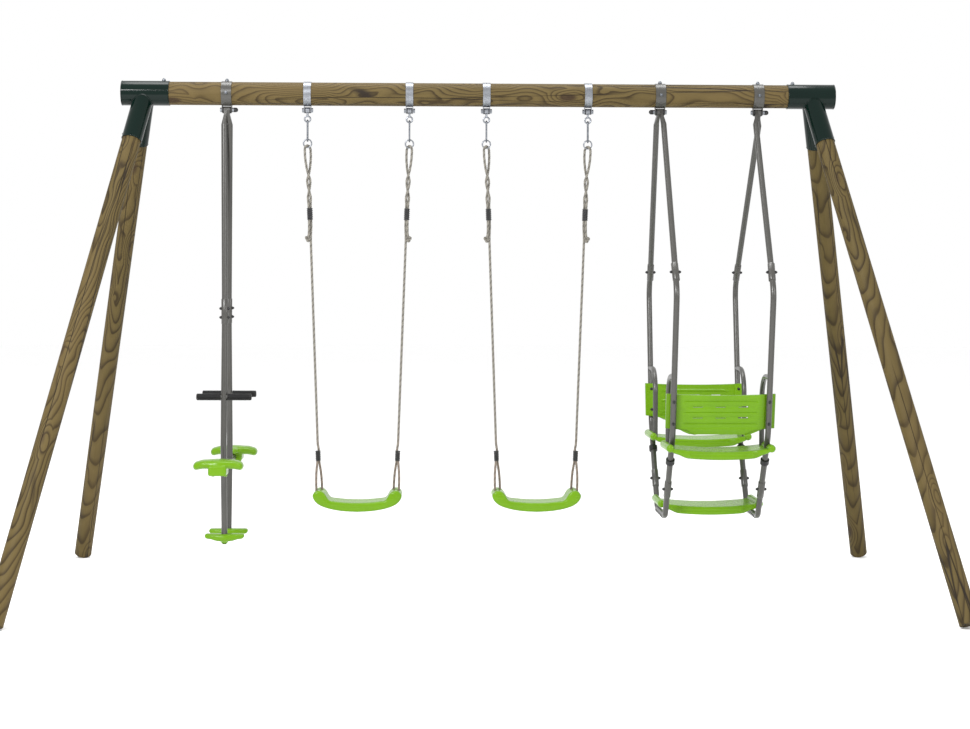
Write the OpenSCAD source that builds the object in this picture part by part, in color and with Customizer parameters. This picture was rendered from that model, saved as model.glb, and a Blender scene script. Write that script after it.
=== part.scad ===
// Swing set: a round timber frame with a glider, two rope swings and a face-to-face gondola.
// The origin is on the ground below the middle of the beam. X runs along the beam, -Y is the
// front and Z is up. All sizes are in millimetres.

/* [Timber frame] */
// Diameter of the round beam
beam_d = 100; // [90:5:120]
// Height of the beam's axis above the ground
beam_z = 2144; // [1950:10:2600]
// Distance between the outer ends of the two corner brackets
frame_w = 3082; // [2900:10:3700]
// Diameter of the round legs
leg_d = 80; // [65:5:96]
// Distance between the front and rear feet, measured at the ground
foot_spread = 2000; // [1600:20:2400]
// How far a leg leans outwards along X from the bracket to the ground
foot_out = 441; // [250:10:600]
// Bevel on the edges of the cut timber
timber_edge = 3; // [1:0.5:5]

/* [Corner brackets] */
// Length of the socket that holds the beam
beam_socket_len = 205; // [160:5:260]
// How far a leg socket reaches from the beam's axis, along the leg
leg_socket_end = 235; // [200:5:280]
// Distance from the bracket's outer end to the point where the leg axes meet
joint_inset = 98; // [80:2:120]
// Wall of the sockets
socket_wall = 3; // [2:0.5:5]
// Gap between timber and socket, on the radius
socket_gap = 0.3; // [0.2:0.1:0.8]

/* [Hangers] */
// Width of the straps that carry the rope swings
swing_strap_w = 32; // [26:1:45]
// Width of the straps that carry the glider and the gondola
tube_strap_w = 44; // [40:1:60]
// Thickness of the straps
strap_t = 3; // [2:0.5:4]
// Drop from the underside of the beam to a pivot bolt
pivot_drop = 20; // [18:1:30]
// Diameter of the pivot bolts
pivot_d = 12; // [8:1:14]
// Running clearance of the pivots, on the radius
run_gap = 0.05; // [0.02:0.01:0.1]
// Gap between pieces that lie loosely against each other
rest_gap = 0.3; // [0.2:0.05:0.5]

/* [Rope swings] */
// Middle of the first rope swing along X
swing_a_x = -523; // [-600:1:-450]
// Middle of the second rope swing along X
swing_b_x = 250; // [200:1:300]
// Distance between the two hangers of a rope swing
swing_hanger_w = 440; // [400:5:520]
// Distance between the two ropes at the seat
seat_rope_w = 331; // [280:1:400]
// Height of a rope swing's seat, at its underside
swing_seat_z = 344; // [300:1:600]
// Depth of a rope swing's seat, front to rear
swing_seat_depth = 170; // [140:5:220]
// Diameter of the ropes
rope_d = 10; // [8:1:12]

/* [Glider] */
// Place of the glider along X
glider_x = -1090; // [-1150:5:-1000]
// Diameter of the glider's upper tubes, and of all tubes of the gondola
tube_d = 25; // [20:1:30]
// Wall of the tubes
tube_wall = 2; // [1:0.25:3]
// Diameter of the glider's lower tubes and of its seat bar
frame_tube_d = 26; // [24:0.5:30]
// Distance from the middle to each handlebar
handle_y = 114; // [90:2:150]
// Drop from the pivot to the handlebars
handle_drop = 1233; // [1000:5:1400]
// Length of a handlebar over its grips
handle_len = 235; // [180:5:300]
// Distance from the middle to each glider seat
glider_seat_y = 330; // [280:5:400]
// Drop from the pivot to the bar that carries the glider's seats
seat_bar_drop = 1526; // [1300:5:1600]
// Width of a glider seat
glider_seat_w = 208; // [180:2:240]
// Drop from the pivot to the ends of the lower tubes
footrest_drop = 1846; // [1700:5:1900]
// Distance from the middle to each footrest
footrest_y = 90; // [70:5:130]

/* [Gondola] */
// Middle of the gondola along X
gondola_x = 996; // [950:2:1050]
// Distance between the gondola's two hangers
gondola_hanger_w = 426; // [400:2:480]
// Distance between the left and right side tubes
gondola_tube_w = 398; // [360:2:440]
// Distance from the middle to the upper joints
upper_joint_y = 458; // [400:5:520]
// Drop from the pivot to the upper joints
upper_joint_drop = 694; // [600:5:760]
// Drop from the pivot to the middle of the backrests
backrest_drop = 1276; // [1200:2:1350]
// Width of a backrest
backrest_w = 455; // [420:5:500]
// Height of a backrest's main panel
backrest_h = 147; // [120:1:180]
// Drop from the pivot to the top of a gondola seat
gondola_seat_drop = 1439; // [1380:2:1480]
// Width of the gondola's seats and of its platform
gondola_seat_w = 462; // [440:2:520]
// Depth of the gondola's seats and of its platform, front to rear
gondola_seat_depth = 250; // [220:5:280]
// Drop from the pivot to the axis of the bottom tubes
bottom_drop = 1738; // [1650:2:1800]
// Distance from the middle to the bends of the bottom tubes
bottom_y = 144; // [120:2:180]

/* [Hidden] */
$fn = 48;

// Colours
timber = [0.62, 0.50, 0.26];
bottle_green = [0.06, 0.20, 0.15];
zinc = [0.66, 0.69, 0.72];
grey_paint = [0.38, 0.38, 0.37];
black = [0.08, 0.08, 0.09];
lime = [0.42, 0.74, 0.12];
hemp = [0.62, 0.56, 0.50];

// Timber frame
joint_x = frame_w / 2 - joint_inset;
leg_dir = [foot_out, foot_spread / 2, -beam_z] / norm([foot_out, foot_spread / 2, beam_z]);
leg_tilt = acos(-leg_dir.z);
// The cut foot is square to the leg, so its lowest edge point touches the ground.
foot_lift = (leg_d / 2 - timber_edge) * sin(leg_tilt);
leg_len = (beam_z - foot_lift) / cos(leg_tilt);
leg_spread = 2 * asin(leg_dir.y);
leg_start = (leg_d / 2 + socket_wall) / tan(leg_spread / 2) + 14;
beam_recess = 6;
screw_d = 8;
screw_head_d = 17;
screw_len = 55;
face_screw_len = 34;

// Hangers
beam_r = beam_d / 2;
pivot_z = beam_z - beam_r - pivot_drop;
strap_r = beam_r + strap_t + rest_gap;
lug_t = 3;
lug_r = pivot_drop - 8;
cheek_t = 6;
eye_t = tube_strap_w / 2 - lug_t - cheek_t - 2 * rest_gap;
eye_r = 15;
bush_core_r = pivot_d / 2 + 2;
hook_eye_r = bush_core_r + 5;
cap_d = 20;

// Rope hardware, from the pivot down
hook_wire_r = 3.5;
link_wire_r = 3.5;
ring_wire_r = 3;
ring_r = 17.5;
hook_ring_r = 12.5;
hook_ring_z = pivot_z - 38;
link_top_z = hook_ring_z - hook_ring_r + hook_wire_r + link_wire_r + rest_gap;
link_h = 89;
link_r = 10;
link_bottom_z = link_top_z - link_h;
ring_z = link_bottom_z + link_wire_r + ring_wire_r + rest_gap - ring_r;
rope_top_z = ring_z - ring_r + ring_wire_r + rope_d / 2 + rest_gap;

// Rope swing seat
seat_lobe_r = 27;
seat_lobe_z = swing_seat_z + 64;
seat_under_r = 400;
seat_top_r = 800;
seat_mid_t = 39;
rope_turn_z = seat_lobe_z - 10;
channel_d = rope_d + 4;

// The rope's route in its own frame: across the loops, along their axis, and height. The
// upper points hang from the ring, the lower ones stand on the seat, and the straight
// stretch between them takes up any change of height.
rope_tail = [[9, 7, -398], [9, 2, -380], [8, 0, -345], [7, 0, -310], [7, 0, -280], [6, 1, -250]];
rope_climb = [[2, 6, -225], [-4, 5, -200], [-7, 0, -175], [-5, -4, -150], [5, -3, -125],
    [9, 0, -105], [14, 0, -85], [18, 0, -65], [20, 0, -45], [20, 0, -20]];
rope_over = [[18.5, 0, -12], [14.1, 0, -5.9], [7.7, 0, -1.5], [0, 0, 0],
    [-7.7, 0, -1.5], [-14.1, 0, -5.9], [-18.5, 0, -12]];
rope_fall = [[-20, 0, -20], [-20, 0, -45], [-18, 0, -65], [-14, 0, -85], [-9, 0, -105],
    [-5, 3, -125], [5, 4, -150], [7, 0, -175], [4, -5, -200], [-2, -6, -225], [-6, -1, -250],
    [-7, 0, -280], [-7, 0, -310], [-7, 0, -345], [-4, 0, -370], [-1, 0, -395], [0, 0, -420]];
rope_lower = [[0, 0, 240], [-3, 0, 222], [-6, 0, 204], [-6, 0, 182], [-6, 0, 160],
    [-11, 0, 135], [-16, 0, 110], [-19, 0, 80], [-20, 0, 50], [-20, 0, 20], [-20, 0, 0]];
rope_turn = [[-18.5, 0, -7.7], [-14.1, 0, -14.1], [-7.7, 0, -18.5], [0, 0, -20],
    [7.7, 0, -18.5], [14.1, 0, -14.1], [18.5, 0, -7.7]];
rope_rise = [[20, 0, 0], [20, 0, 20], [20, 0, 50], [19, 0, 80], [16, 0, 110], [11, 0, 135],
    [6, 0, 160], [6, 0, 182], [6, 0, 200]];
straight_rings = 30;
bend_rings = 6;
tube_sides = 8;
loop_turn = 35;
adjuster_drop = 295;
adjuster_size = [30, 19, 50];
adjuster_bore_x = 7;
sleeve_up = 182;
sleeve_size = [27, 19, 44];
sleeve_bore_x = 6;
adjuster_bore_d = rope_d + 1.8;
sleeve_bore_d = rope_d + 1;

// Glider
sleeve_gap = 0.1;
swage_t = 2.2;
web = 6;
joint_overlap = 97;
glider_joint_drop = 911;
bolt_d = 6;
bolt_head_d = 13;
handle_d = 20;
grip_d = 30;
glider_seat_t = 30;
seat_bar_end = glider_seat_y + 62;
lower_turn_drop = 1440;
lower_turn_y = handle_y * lower_turn_drop / handle_drop;
lower_bend_r = 220;

// Gondola
side_sleeve_d = tube_d + 5;
side_sleeve_len = 84;
side_bend_y = 512;
side_bend_drop = 774;
knee_y = 392;
knee_drop = 1374;
bottom_bend_r = 38;
side_bend_r = 110;
knee_bend_r = 120;
backrest_t = 14;
armrest_d = 22;
armrest_leg_y = 235;
armrest_bend_r = 110;
armrest_top_drop = 1130;
gondola_seat_y = 305;
seat_sag_r = 1500;
seat_skin_t = 34;
lobe_r = 20;
lobe_rise = 15;
collar_drop = 1488;
// The platform's underside rests on the bottom tubes.
platform_drop = bottom_drop - tube_d / 2 - rest_gap - seat_skin_t + 12;

// ---------- helpers ----------

function unit(v) = v / norm(v);

// A round bar or a bore between two points
module bar(a, b, d) {
    v = b - a;
    translate(a) rotate([0, acos(v.z / norm(v)), atan2(v.y, v.x)]) cylinder(h = norm(v), d = d);
}

// Turns a shape's own X, Y and Z into Y, Z and X, so that a flat path lies along the swing
module upright() rotate([90, 0, 90]) children();

// A ring of round wire whose hole points along Z
module wire_ring(r, wire_r) rotate_extrude() translate([r, 0]) circle(r = wire_r);

// A swept bar of flat sides along a list of points
module swept(p, d, ref, sides = 8) {
    m = len(p);
    tangents = [for (i = [0:m - 1]) unit(p[min(i + 1, m - 1)] - p[max(i - 1, 0)])];
    rings = [for (i = [0:m - 1])
        let (t = tangents[i], u = unit(ref - (ref * t) * t), v = cross(t, u))
        for (k = [0:sides - 1]) let (a = 360 * (k + 0.5) / sides) p[i] + d / 2 * (cos(a) * u + sin(a) * v)];
    walls = [for (i = [0:m - 2]) for (k = [0:sides - 1]) each
        let (a = sides * i + k, b = sides * i + (k + 1) % sides)
        [[a, a + sides, b + sides], [a, b + sides, b]]];
    last = sides * (m - 1);
    caps = [for (k = [1:sides - 2]) each [[0, k, k + 1], [last, last + k + 1, last + k]]];
    polyhedron(points = rings, faces = concat(walls, caps), convexity = 10);
}

// Points along a rounded corner at b, between a and c
function corner_points(a, b, c, r) = let (
        u = unit(a - b), v = unit(c - b), half = acos(u * v) / 2, turn = 180 - 2 * half,
        middle = b + unit(u + v) * r / sin(half),
        from = b + u * r / tan(half) - middle, to = b + v * r / tan(half) - middle)
    [for (i = [0:bend_rings]) let (t = turn * i / bend_rings)
        middle + (sin(turn - t) * from + sin(t) * to) / sin(turn)];

// A hollow tube of flat sides along a flat path in the Y-Z plane, with rounded corners
module bent_tube(p, r, d) {
    n = len(p);
    bends = [for (i = [1:n - 2]) each corner_points(p[i - 1], p[i], p[i + 1], r[i - 1])];
    before = p[0] + unit(p[0] - p[1]);
    after = p[n - 1] + unit(p[n - 1] - p[n - 2]);
    difference() {
        swept([for (q = concat([p[0]], bends, [p[n - 1]])) [0, q.x, q.y]], d, [1, 0, 0], tube_sides);
        swept([for (q = concat([before], bends, [after])) [0, q.x, q.y]], d - 2 * tube_wall, [1, 0, 0], tube_sides);
    }
}

// A flat bar with half-round ends, upright along Z
module stadium(size) {
    run = size.x - size.y;
    cube([run, size.y, size.z], center = true);
    for (s = [-1, 1]) translate([s * run / 2, 0, 0]) cylinder(h = size.z, d = size.y, center = true);
}

// A dome-headed screw with its head's seat at the origin and its shank down -Z
module dome_screw(d, head_d, len) {
    translate([0, 0, -len]) cylinder(h = len + 2, d = d);
    cylinder(h = 5, d = head_d);
    translate([0, 0, 5]) intersection() {
        sphere(d = head_d - 3);
        cylinder(h = head_d, d = head_d);
    }
}

// ---------- timber frame ----------

module place_leg(sx, sy, along) {
    d = [leg_dir.x * sx, leg_dir.y * sy, leg_dir.z];
    translate([joint_x * sx, 0, beam_z] + d * along)
        rotate([0, acos(d.z), atan2(d.y, d.x)]) children();
}

// Screw that holds a leg in its socket, on the leg's inner face
module place_leg_screw(sx, sy) {
    place_leg(sx, sy, leg_socket_end - 32) rotate([0, 0, sy * sx > 0 ? -90 : 90])
        translate([leg_d / 2 + socket_gap + socket_wall, 0, 0]) rotate([0, 90, 0]) children();
}

module place_beam_screw(sx) {
    translate([sx * (frame_w / 2 - beam_socket_len + 25), 0, beam_z + beam_r + socket_gap + socket_wall])
        children();
}

module turned_post(len, d) {
    translate([0, 0, timber_edge]) cylinder(h = len - 2 * timber_edge, d = d);
    for (end = [0, 1]) translate([0, 0, end * len]) mirror([0, 0, end])
        cylinder(h = timber_edge, d1 = d - 2 * timber_edge, d2 = d);
}

module beam() {
    len = frame_w - 2 * beam_recess;
    color(timber) difference() {
        translate([-len / 2, 0, beam_z]) rotate([0, 90, 0]) turned_post(len, beam_d);
        for (sx = [-1, 1]) place_beam_screw(sx) hole(screw_d, screw_len);
        place_tube_hangers() {
            translate([0, 0, beam_r + strap_t + rest_gap]) hole(screw_d, screw_len);
            rotate([90, 0, 0]) translate([0, 0, beam_r + strap_t + rest_gap]) hole(bolt_d, face_screw_len);
        }
        place_swing_hangers() rotate([-90, 0, 0])
            translate([0, 0, beam_r + strap_t + rest_gap]) hole(bolt_d, face_screw_len);
    }
}

module hole(d, len) translate([0, 0, -len - 1]) cylinder(h = len + 40, d = d + 2 * run_gap);

module leg(sx, sy) {
    color(timber) difference() {
        place_leg(sx, sy, leg_start) turned_post(leg_len - leg_start, leg_d);
        place_leg_screw(sx, sy) hole(screw_d, screw_len);
    }
}

module corner_bracket(sx) {
    bore = beam_d + 2 * socket_gap;
    leg_bore = leg_d + 2 * socket_gap;
    outer = sx * frame_w / 2;
    inner = outer - sx * beam_socket_len;
    color(bottle_green) difference() {
        union() {
            difference() {
                for (sy = [-1, 1]) place_leg(sx, sy, 0)
                    cylinder(h = leg_socket_end, d = leg_bore + 2 * socket_wall);
                for (sy = [-1, 1]) place_leg(sx, sy, 0) cylinder(h = leg_socket_end + 10, d = leg_bore);
            }
            bar([inner, 0, beam_z], [outer, 0, beam_z], bore + 2 * socket_wall);
        }
        bar([inner - sx * 10, 0, beam_z], [outer + sx * 10, 0, beam_z], bore);
        place_beam_screw(sx) hole(screw_d, screw_len);
        for (sy = [-1, 1]) place_leg_screw(sx, sy) hole(screw_d, screw_len);
    }
}

module bracket_screws() {
    color(zinc) for (sx = [-1, 1]) {
        place_beam_screw(sx) dome_screw(screw_d, screw_head_d, screw_len);
        for (sy = [-1, 1]) place_leg_screw(sx, sy) dome_screw(screw_d, screw_head_d, screw_len);
    }
}

// ---------- hangers ----------

module place_swing_hangers(which = [swing_a_x, swing_b_x]) {
    for (x = which) for (s = [-1, 1]) translate([x + s * swing_hanger_w / 2, 0, beam_z]) children();
}

module place_tube_hangers() {
    place_glider_hanger() children();
    place_gondola_hangers() children();
}

module place_glider_hanger() translate([glider_x, 0, beam_z]) children();

module place_gondola_hangers() {
    for (s = [-1, 1]) translate([gondola_x + s * gondola_hanger_w / 2, 0, beam_z])
        mirror([s < 0 ? 1 : 0, 0, 0]) children();
}

// A strap round the beam with two lugs for the pivot bolt, about the beam's axis
module strap(w) {
    drop = beam_z - pivot_z;
    difference() {
        union() {
            rotate([0, 90, 0]) cylinder(h = w, r = strap_r, center = true);
            for (s = [-1, 1]) translate([s * (w - lug_t) / 2, 0, -drop]) {
                rotate([0, 90, 0]) cylinder(h = lug_t, r = lug_r, center = true);
                translate([0, 0, drop / 2]) cube([lug_t, 2 * lug_r, drop], center = true);
            }
        }
        rotate([0, 90, 0]) cylinder(h = w + 2, r = beam_r + rest_gap, center = true);
        translate([0, 0, -drop]) rotate([0, 90, 0]) cylinder(h = w + 2, d = pivot_d + 2 * run_gap, center = true);
    }
}

module swing_straps() {
    color(zinc) place_swing_hangers() difference() {
        strap(swing_strap_w);
        rotate([-90, 0, 0]) translate([0, 0, strap_r]) hole(bolt_d, face_screw_len);
    }
}

module tube_strap() {
    difference() {
        strap(tube_strap_w);
        translate([0, 0, strap_r]) hole(screw_d, screw_len);
        rotate([90, 0, 0]) translate([0, 0, strap_r]) hole(bolt_d, face_screw_len);
    }
}

module glider_strap() color(grey_paint) place_glider_hanger() tube_strap();

module gondola_straps() color(grey_paint) place_gondola_hangers() tube_strap();

// A pivot bolt with a flat head at -X and a nut at +X
module pivot_bolt(w) {
    translate([0, 0, pivot_z - beam_z]) rotate([0, 90, 0]) {
        cylinder(h = w + 16, d = pivot_d, center = true);
        for (s = [-1, 1]) translate([0, 0, s * (w / 2 + 4)]) cylinder(h = 7, d = 1.6 * pivot_d, center = true, $fn = 6);
    }
}

module pivot_bolts() {
    color(zinc) {
        place_swing_hangers() pivot_bolt(swing_strap_w);
        place_tube_hangers() pivot_bolt(tube_strap_w);
    }
}

// A plastic cheek between a lug and what swings, about the pivot
module cheek(t, r) rotate([0, 90, 0]) difference() {
    cylinder(h = t, r = r, center = true);
    cylinder(h = t + 2, d = pivot_d + 2 * run_gap, center = true);
}

// A flanged bush in two halves, on which a hook swings
module swing_bush() {
    inside = swing_strap_w / 2 - lug_t - rest_gap;
    flange = 4;
    translate([0, 0, pivot_z - beam_z]) rotate([0, 90, 0]) difference() {
        union() {
            cylinder(h = 2 * inside, r = bush_core_r, center = true);
            for (s = [-1, 1]) translate([0, 0, s * (inside - flange / 2)])
                cylinder(h = flange, r = hook_eye_r, center = true);
        }
        cylinder(h = 4 * inside, d = pivot_d + 2 * run_gap, center = true);
    }
}

module pivot_bushes() {
    color(black) {
        place_swing_hangers() swing_bush();
        place_tube_hangers() translate([0, 0, pivot_z - beam_z])
            for (s = [-1, 1]) translate([s * (tube_strap_w / 2 - lug_t - rest_gap / 2 - cheek_t / 2), 0, 0])
                cheek(cheek_t, lug_r + 3);
    }
}

module strap_screws() {
    color(zinc) {
        place_tube_hangers() {
            translate([0, 0, strap_r]) dome_screw(screw_d, screw_head_d, screw_len);
            rotate([90, 0, 0]) translate([0, 0, strap_r]) dome_screw(bolt_d, bolt_head_d, face_screw_len);
        }
        place_swing_hangers() rotate([-90, 0, 0]) translate([0, 0, strap_r])
            dome_screw(bolt_d, bolt_head_d, face_screw_len);
    }
}

// Black caps over the outer ends of the tube hangers' pivot bolts
module pivot_caps() {
    color(black) place_tube_hangers() translate([tube_strap_w / 2 + 7.5 + rest_gap, 0, pivot_z - beam_z])
        rotate([0, 90, 0]) difference() {
            union() {
                cylinder(h = 8, d = cap_d);
                translate([0, 0, 8]) intersection() {
                    sphere(d = cap_d);
                    cylinder(h = cap_d, d = cap_d);
                }
            }
            translate([0, 0, -1]) cylinder(h = 6, d = pivot_d + 2 * run_gap);
        }
}

// ---------- rope swings ----------

module place_ropes(x) for (s = [-1, 1]) translate([x + s * swing_hanger_w / 2, 0, 0]) children();

module hooks(x) {
    inside = swing_strap_w / 2 - lug_t - rest_gap - 4 - rest_gap;
    color(zinc) place_ropes(x) {
        difference() {
            union() {
                translate([0, 0, pivot_z]) rotate([0, 90, 0]) cylinder(h = 2 * inside, r = hook_eye_r, center = true);
                bar([0, 0, pivot_z - bush_core_r - 2], [0, 0, hook_ring_z + hook_ring_r - 1], 9);
            }
            translate([0, 0, pivot_z]) rotate([0, 90, 0])
                cylinder(h = 2 * inside + 2, r = bush_core_r + run_gap, center = true);
        }
        translate([0, 0, hook_ring_z]) rotate([90, 0, 0]) wire_ring(hook_ring_r, hook_wire_r);
    }
}

module links(x) {
    span = link_h / 2 - link_r;
    color(zinc) place_ropes(x) translate([0, 0, link_top_z - link_h / 2]) upright() {
        for (s = [-1, 1]) {
            bar([s * link_r, -span, 0], [s * link_r, span, 0], 2 * link_wire_r);
            translate([0, s * span, 0]) rotate(s > 0 ? 0 : 180)
                rotate_extrude(angle = 180) translate([link_r, 0]) circle(r = link_wire_r);
        }
    }
}

module rings(x) {
    color(zinc) place_ropes(x) translate([0, 0, ring_z]) rotate([90, 0, 0]) wire_ring(ring_r, ring_wire_r);
}

// The rope's axis leans in from the hanger to the seat.
function rope_axis_x(z) = let (t = (rope_top_z - z) / (rope_top_z - rope_turn_z))
    swing_hanger_w / 2 + t * (seat_rope_w - swing_hanger_w) / 2;

// A point of the route, turned so that the loops cross the ring at an angle
function rope_point(p, z) = [
    rope_axis_x(z) + p.x * sin(loop_turn) + p.y * cos(loop_turn),
    -p.x * cos(loop_turn) + p.y * sin(loop_turn), z];

function rope_route() =
    let (
        upper = [for (p = concat(rope_tail, rope_climb, rope_over, rope_fall)) rope_point(p, rope_top_z + p.z)],
        lower = [for (p = concat(rope_lower, rope_turn, rope_rise)) rope_point(p, rope_turn_z + p.z)],
        a = upper[len(upper) - 1], b = lower[0],
        run = [for (i = [1:straight_rings]) a + (b - a) * i / (straight_rings + 1)]
    ) concat(upper, run, lower);

module rope(x, s) {
    color(hemp) translate([x, 0, 0]) mirror([s < 0 ? 1 : 0, 0, 0])
        swept(rope_route(), rope_d, [cos(loop_turn), sin(loop_turn), 0]);
}

// Places a clamp round the two strands of a rope, at a height
module place_clamp(x, z) {
    for (s = [-1, 1]) translate([x, 0, 0]) mirror([s < 0 ? 1 : 0, 0, 0])
        translate([rope_axis_x(z), 0, z]) rotate([0, rope_lean, 0]) rotate(-90 + loop_turn) children();
}

rope_lean = atan2((seat_rope_w - swing_hanger_w) / 2, -(rope_top_z - rope_turn_z)) - 180;

module rope_clamp(size, bore_x, bore_d) {
    difference() {
        stadium(size);
        for (s = [-1, 1]) translate([s * bore_x, 0, 0]) cylinder(h = size.z + 2, d = bore_d, center = true);
    }
}

module adjusters(x) {
    color(black) place_clamp(x, rope_top_z - adjuster_drop)
        rope_clamp(adjuster_size, adjuster_bore_x, adjuster_bore_d);
}

module sleeves(x) {
    color(black) place_clamp(x, rope_turn_z + sleeve_up) rope_clamp(sleeve_size, sleeve_bore_x, sleeve_bore_d);
}

// The seat: a curved board with a rolled lobe at each end, and a channel in each lobe in
// which the rope turns
module swing_seat(x) {
    half = seat_rope_w / 2;
    depth = swing_seat_depth;
    color(lime) translate([x, 0, 0]) difference() {
        union() {
            difference() {
                intersection() {
                    translate([0, 0, swing_seat_z + seat_under_r]) rotate([90, 0, 0])
                        cylinder(h = depth, r = seat_under_r, center = true, $fn = 200);
                    translate([0, 0, swing_seat_z + 50]) cube([2 * half, depth, 100], center = true);
                }
                translate([0, 0, swing_seat_z + seat_mid_t + seat_top_r]) rotate([90, 0, 0])
                    cylinder(h = depth + 2, r = seat_top_r, center = true, $fn = 400);
            }
            for (s = [-1, 1]) translate([s * half, 0, seat_lobe_z]) rotate([90, 0, 0])
                cylinder(h = depth, r = seat_lobe_r, center = true);
        }
        for (s = [-1, 1]) mirror([s < 0 ? 1 : 0, 0, 0]) translate([half, 0, rope_turn_z])
            rotate(-90 + loop_turn) rotate([90, 0, 0]) {
                for (k = [-1, 1]) translate([k * 20, 0, 0]) rotate([-90, 0, 0]) cylinder(h = 80, d = channel_d);
                rotate(180) rotate_extrude(angle = 180) translate([20, 0]) circle(d = channel_d);
            }
    }
}

// ---------- glider ----------

// An upper tube with a flattened eye on the pivot, from the pivot to a distance past a joint
module eye_tube(side, joint, past) {
    from = [side * (tube_d / 2 + rest_gap / 2), 0, 0];
    axis = unit(joint - from);
    to = joint + axis * past;
    lean = atan2(axis.y, -axis.z);
    eye_x = side * (rest_gap / 2 + eye_t / 2);
    flat_end = 22;
    round_start = 62;
    seam = 2;
    difference() {
        union() {
            translate([eye_x, 0, 0]) rotate([lean, 0, 0]) {
                rotate([0, 90, 0]) cylinder(h = eye_t, r = eye_r, center = true);
                hull() {
                    rotate([0, 90, 0]) cylinder(h = eye_t - 0.2, r = eye_r - 0.5, center = true, $fn = 32);
                    translate([0, 0, -flat_end]) cube([eye_t - 0.2, 2 * eye_r - 1, seam], center = true);
                }
            }
            hull() {
                translate([eye_x, 0, 0]) rotate([lean, 0, 0])
                    translate([0, 0, -flat_end]) cube([eye_t - 0.4, 2 * eye_r - 1.4, seam / 2], center = true);
                bar(from + axis * round_start, from + axis * (round_start + seam), tube_d - 1, $fn = 32);
            }
            bar(from + axis * (round_start + seam / 2), to, tube_d);
        }
        rotate([0, 90, 0]) cylinder(h = 2 * tube_strap_w, d = pivot_d + 2 * run_gap, center = true);
        bar(from + axis * (round_start + 10), to + axis, tube_d - 2 * tube_wall);
    }
}

glider_line = unit([0, handle_y, -handle_drop]);
glider_joint = glider_line * glider_joint_drop / -glider_line.z;
lower_line = unit([footrest_y - lower_turn_y, lower_turn_drop - footrest_drop]);

module place_glider(rear) translate([glider_x, 0, pivot_z]) mirror([0, rear ? 0 : 1, 0]) children();

// Bolt places at the glider's tube joints, in drops from the pivot
glider_bolt_drops = [glider_joint_drop - 55, glider_joint_drop - 17];

function on_glider_line(drop) = glider_line * drop / -glider_line.z;

module glider_upper_tube(rear) {
    side = rear ? 1 : -1;
    color(grey_paint) place_glider(rear) difference() {
        eye_tube(side, glider_joint, 0);
        for (drop = glider_bolt_drops) glider_bolt_hole(drop, side);
    }
}

module glider_bolt_hole(drop, side) {
    translate(on_glider_line(drop)) rotate([0, 90, 0]) cylinder(h = 80, d = bolt_d + 2 * run_gap, center = true);
}

module glider_lower_tube(rear) {
    side = rear ? 1 : -1;
    start = on_glider_line(glider_joint_drop + web);
    color(grey_paint) place_glider(rear) difference() {
        union() {
            bent_tube([[start.y, start.z], [lower_turn_y, -lower_turn_drop],
                [footrest_y, -footrest_drop]], [lower_bend_r], frame_tube_d);
            difference() {
                on_glider_joint(side, -joint_overlap, 2 * web, tube_d + 2 * swage_t);
                on_glider_joint(side, -joint_overlap - 1, 1, tube_d + 2 * sleeve_gap);
            }
        }
        for (drop = glider_bolt_drops) glider_bolt_hole(drop, side);
        bar([-40, handle_y, -handle_drop], [40, handle_y, -handle_drop], handle_d + 2 * run_gap);
    }
}

// Along an upper tube's axis, between two distances past its joint
module on_glider_joint(side, from, to, d) {
    start = [side * (tube_d / 2 + rest_gap / 2), 0, 0];
    axis = unit(glider_joint - start);
    bar(glider_joint + axis * from, glider_joint + axis * to, d);
}

module glider_seat_bar() {
    color(grey_paint) difference() {
        translate([glider_x, 0, pivot_z]) bar([0, -seat_bar_end, -seat_bar_drop], [0, seat_bar_end, -seat_bar_drop], frame_tube_d);
        for (rear = [false, true]) place_glider(rear)
            bar([0, lower_turn_y, -lower_turn_drop], [0, footrest_y, -footrest_drop], frame_tube_d);
        translate([glider_x, 0, pivot_z]) bar([0, -seat_bar_end - 1, -seat_bar_drop], [0, seat_bar_end + 1, -seat_bar_drop], frame_tube_d - 2 * tube_wall);
    }
}

module glider_handlebars() {
    color(grey_paint) for (rear = [false, true]) place_glider(rear) translate([0, handle_y, -handle_drop])
        rotate([0, 90, 0]) difference() {
            cylinder(h = handle_len - 6, d = handle_d, center = true);
            cylinder(h = handle_len, d = handle_d - 2 * tube_wall, center = true);
        }
}

module glider_grips() {
    start = frame_tube_d / 2 + 1;
    color(black) for (rear = [false, true]) place_glider(rear) translate([0, handle_y, -handle_drop])
        for (s = [0, 1]) mirror([s, 0, 0]) rotate([0, 90, 0]) difference() {
            translate([0, 0, start]) cylinder(h = handle_len / 2 - start, d = grip_d);
            cylinder(h = handle_len / 2 - 3 + run_gap, d = handle_d + 2 * run_gap);
        }
}

// A saddle with drooping wings, about the middle of its bar
module saddle() {
    wing = glider_seat_w / 2 - 14;
    top = 46;
    difference() {
        union() {
            for (s = [-1, 1]) hull() {
                translate([s * wing, 30, top - 26]) sphere(r = 14, $fn = 24);
                translate([s * (wing - 12), -35, top - 26]) sphere(r = 14, $fn = 24);
                translate([0, 40, top - 17]) sphere(r = 17, $fn = 24);
                translate([0, -55, top - 17]) sphere(r = 17, $fn = 24);
            }
            hull() {
                translate([0, -55, top - 17]) sphere(r = 17, $fn = 24);
                translate([0, -105, top - 20]) sphere(r = 14, $fn = 24);
            }
            translate([0, -8, 2]) cube([86, 92, 44], center = true);
        }
        bar([0, -200, 0], [0, seat_bar_end - glider_seat_y + run_gap, 0], frame_tube_d + 2 * run_gap);
    }
}

module glider_seat(rear) {
    color(lime) place_glider(rear) translate([0, glider_seat_y, -seat_bar_drop]) saddle();
}

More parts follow.
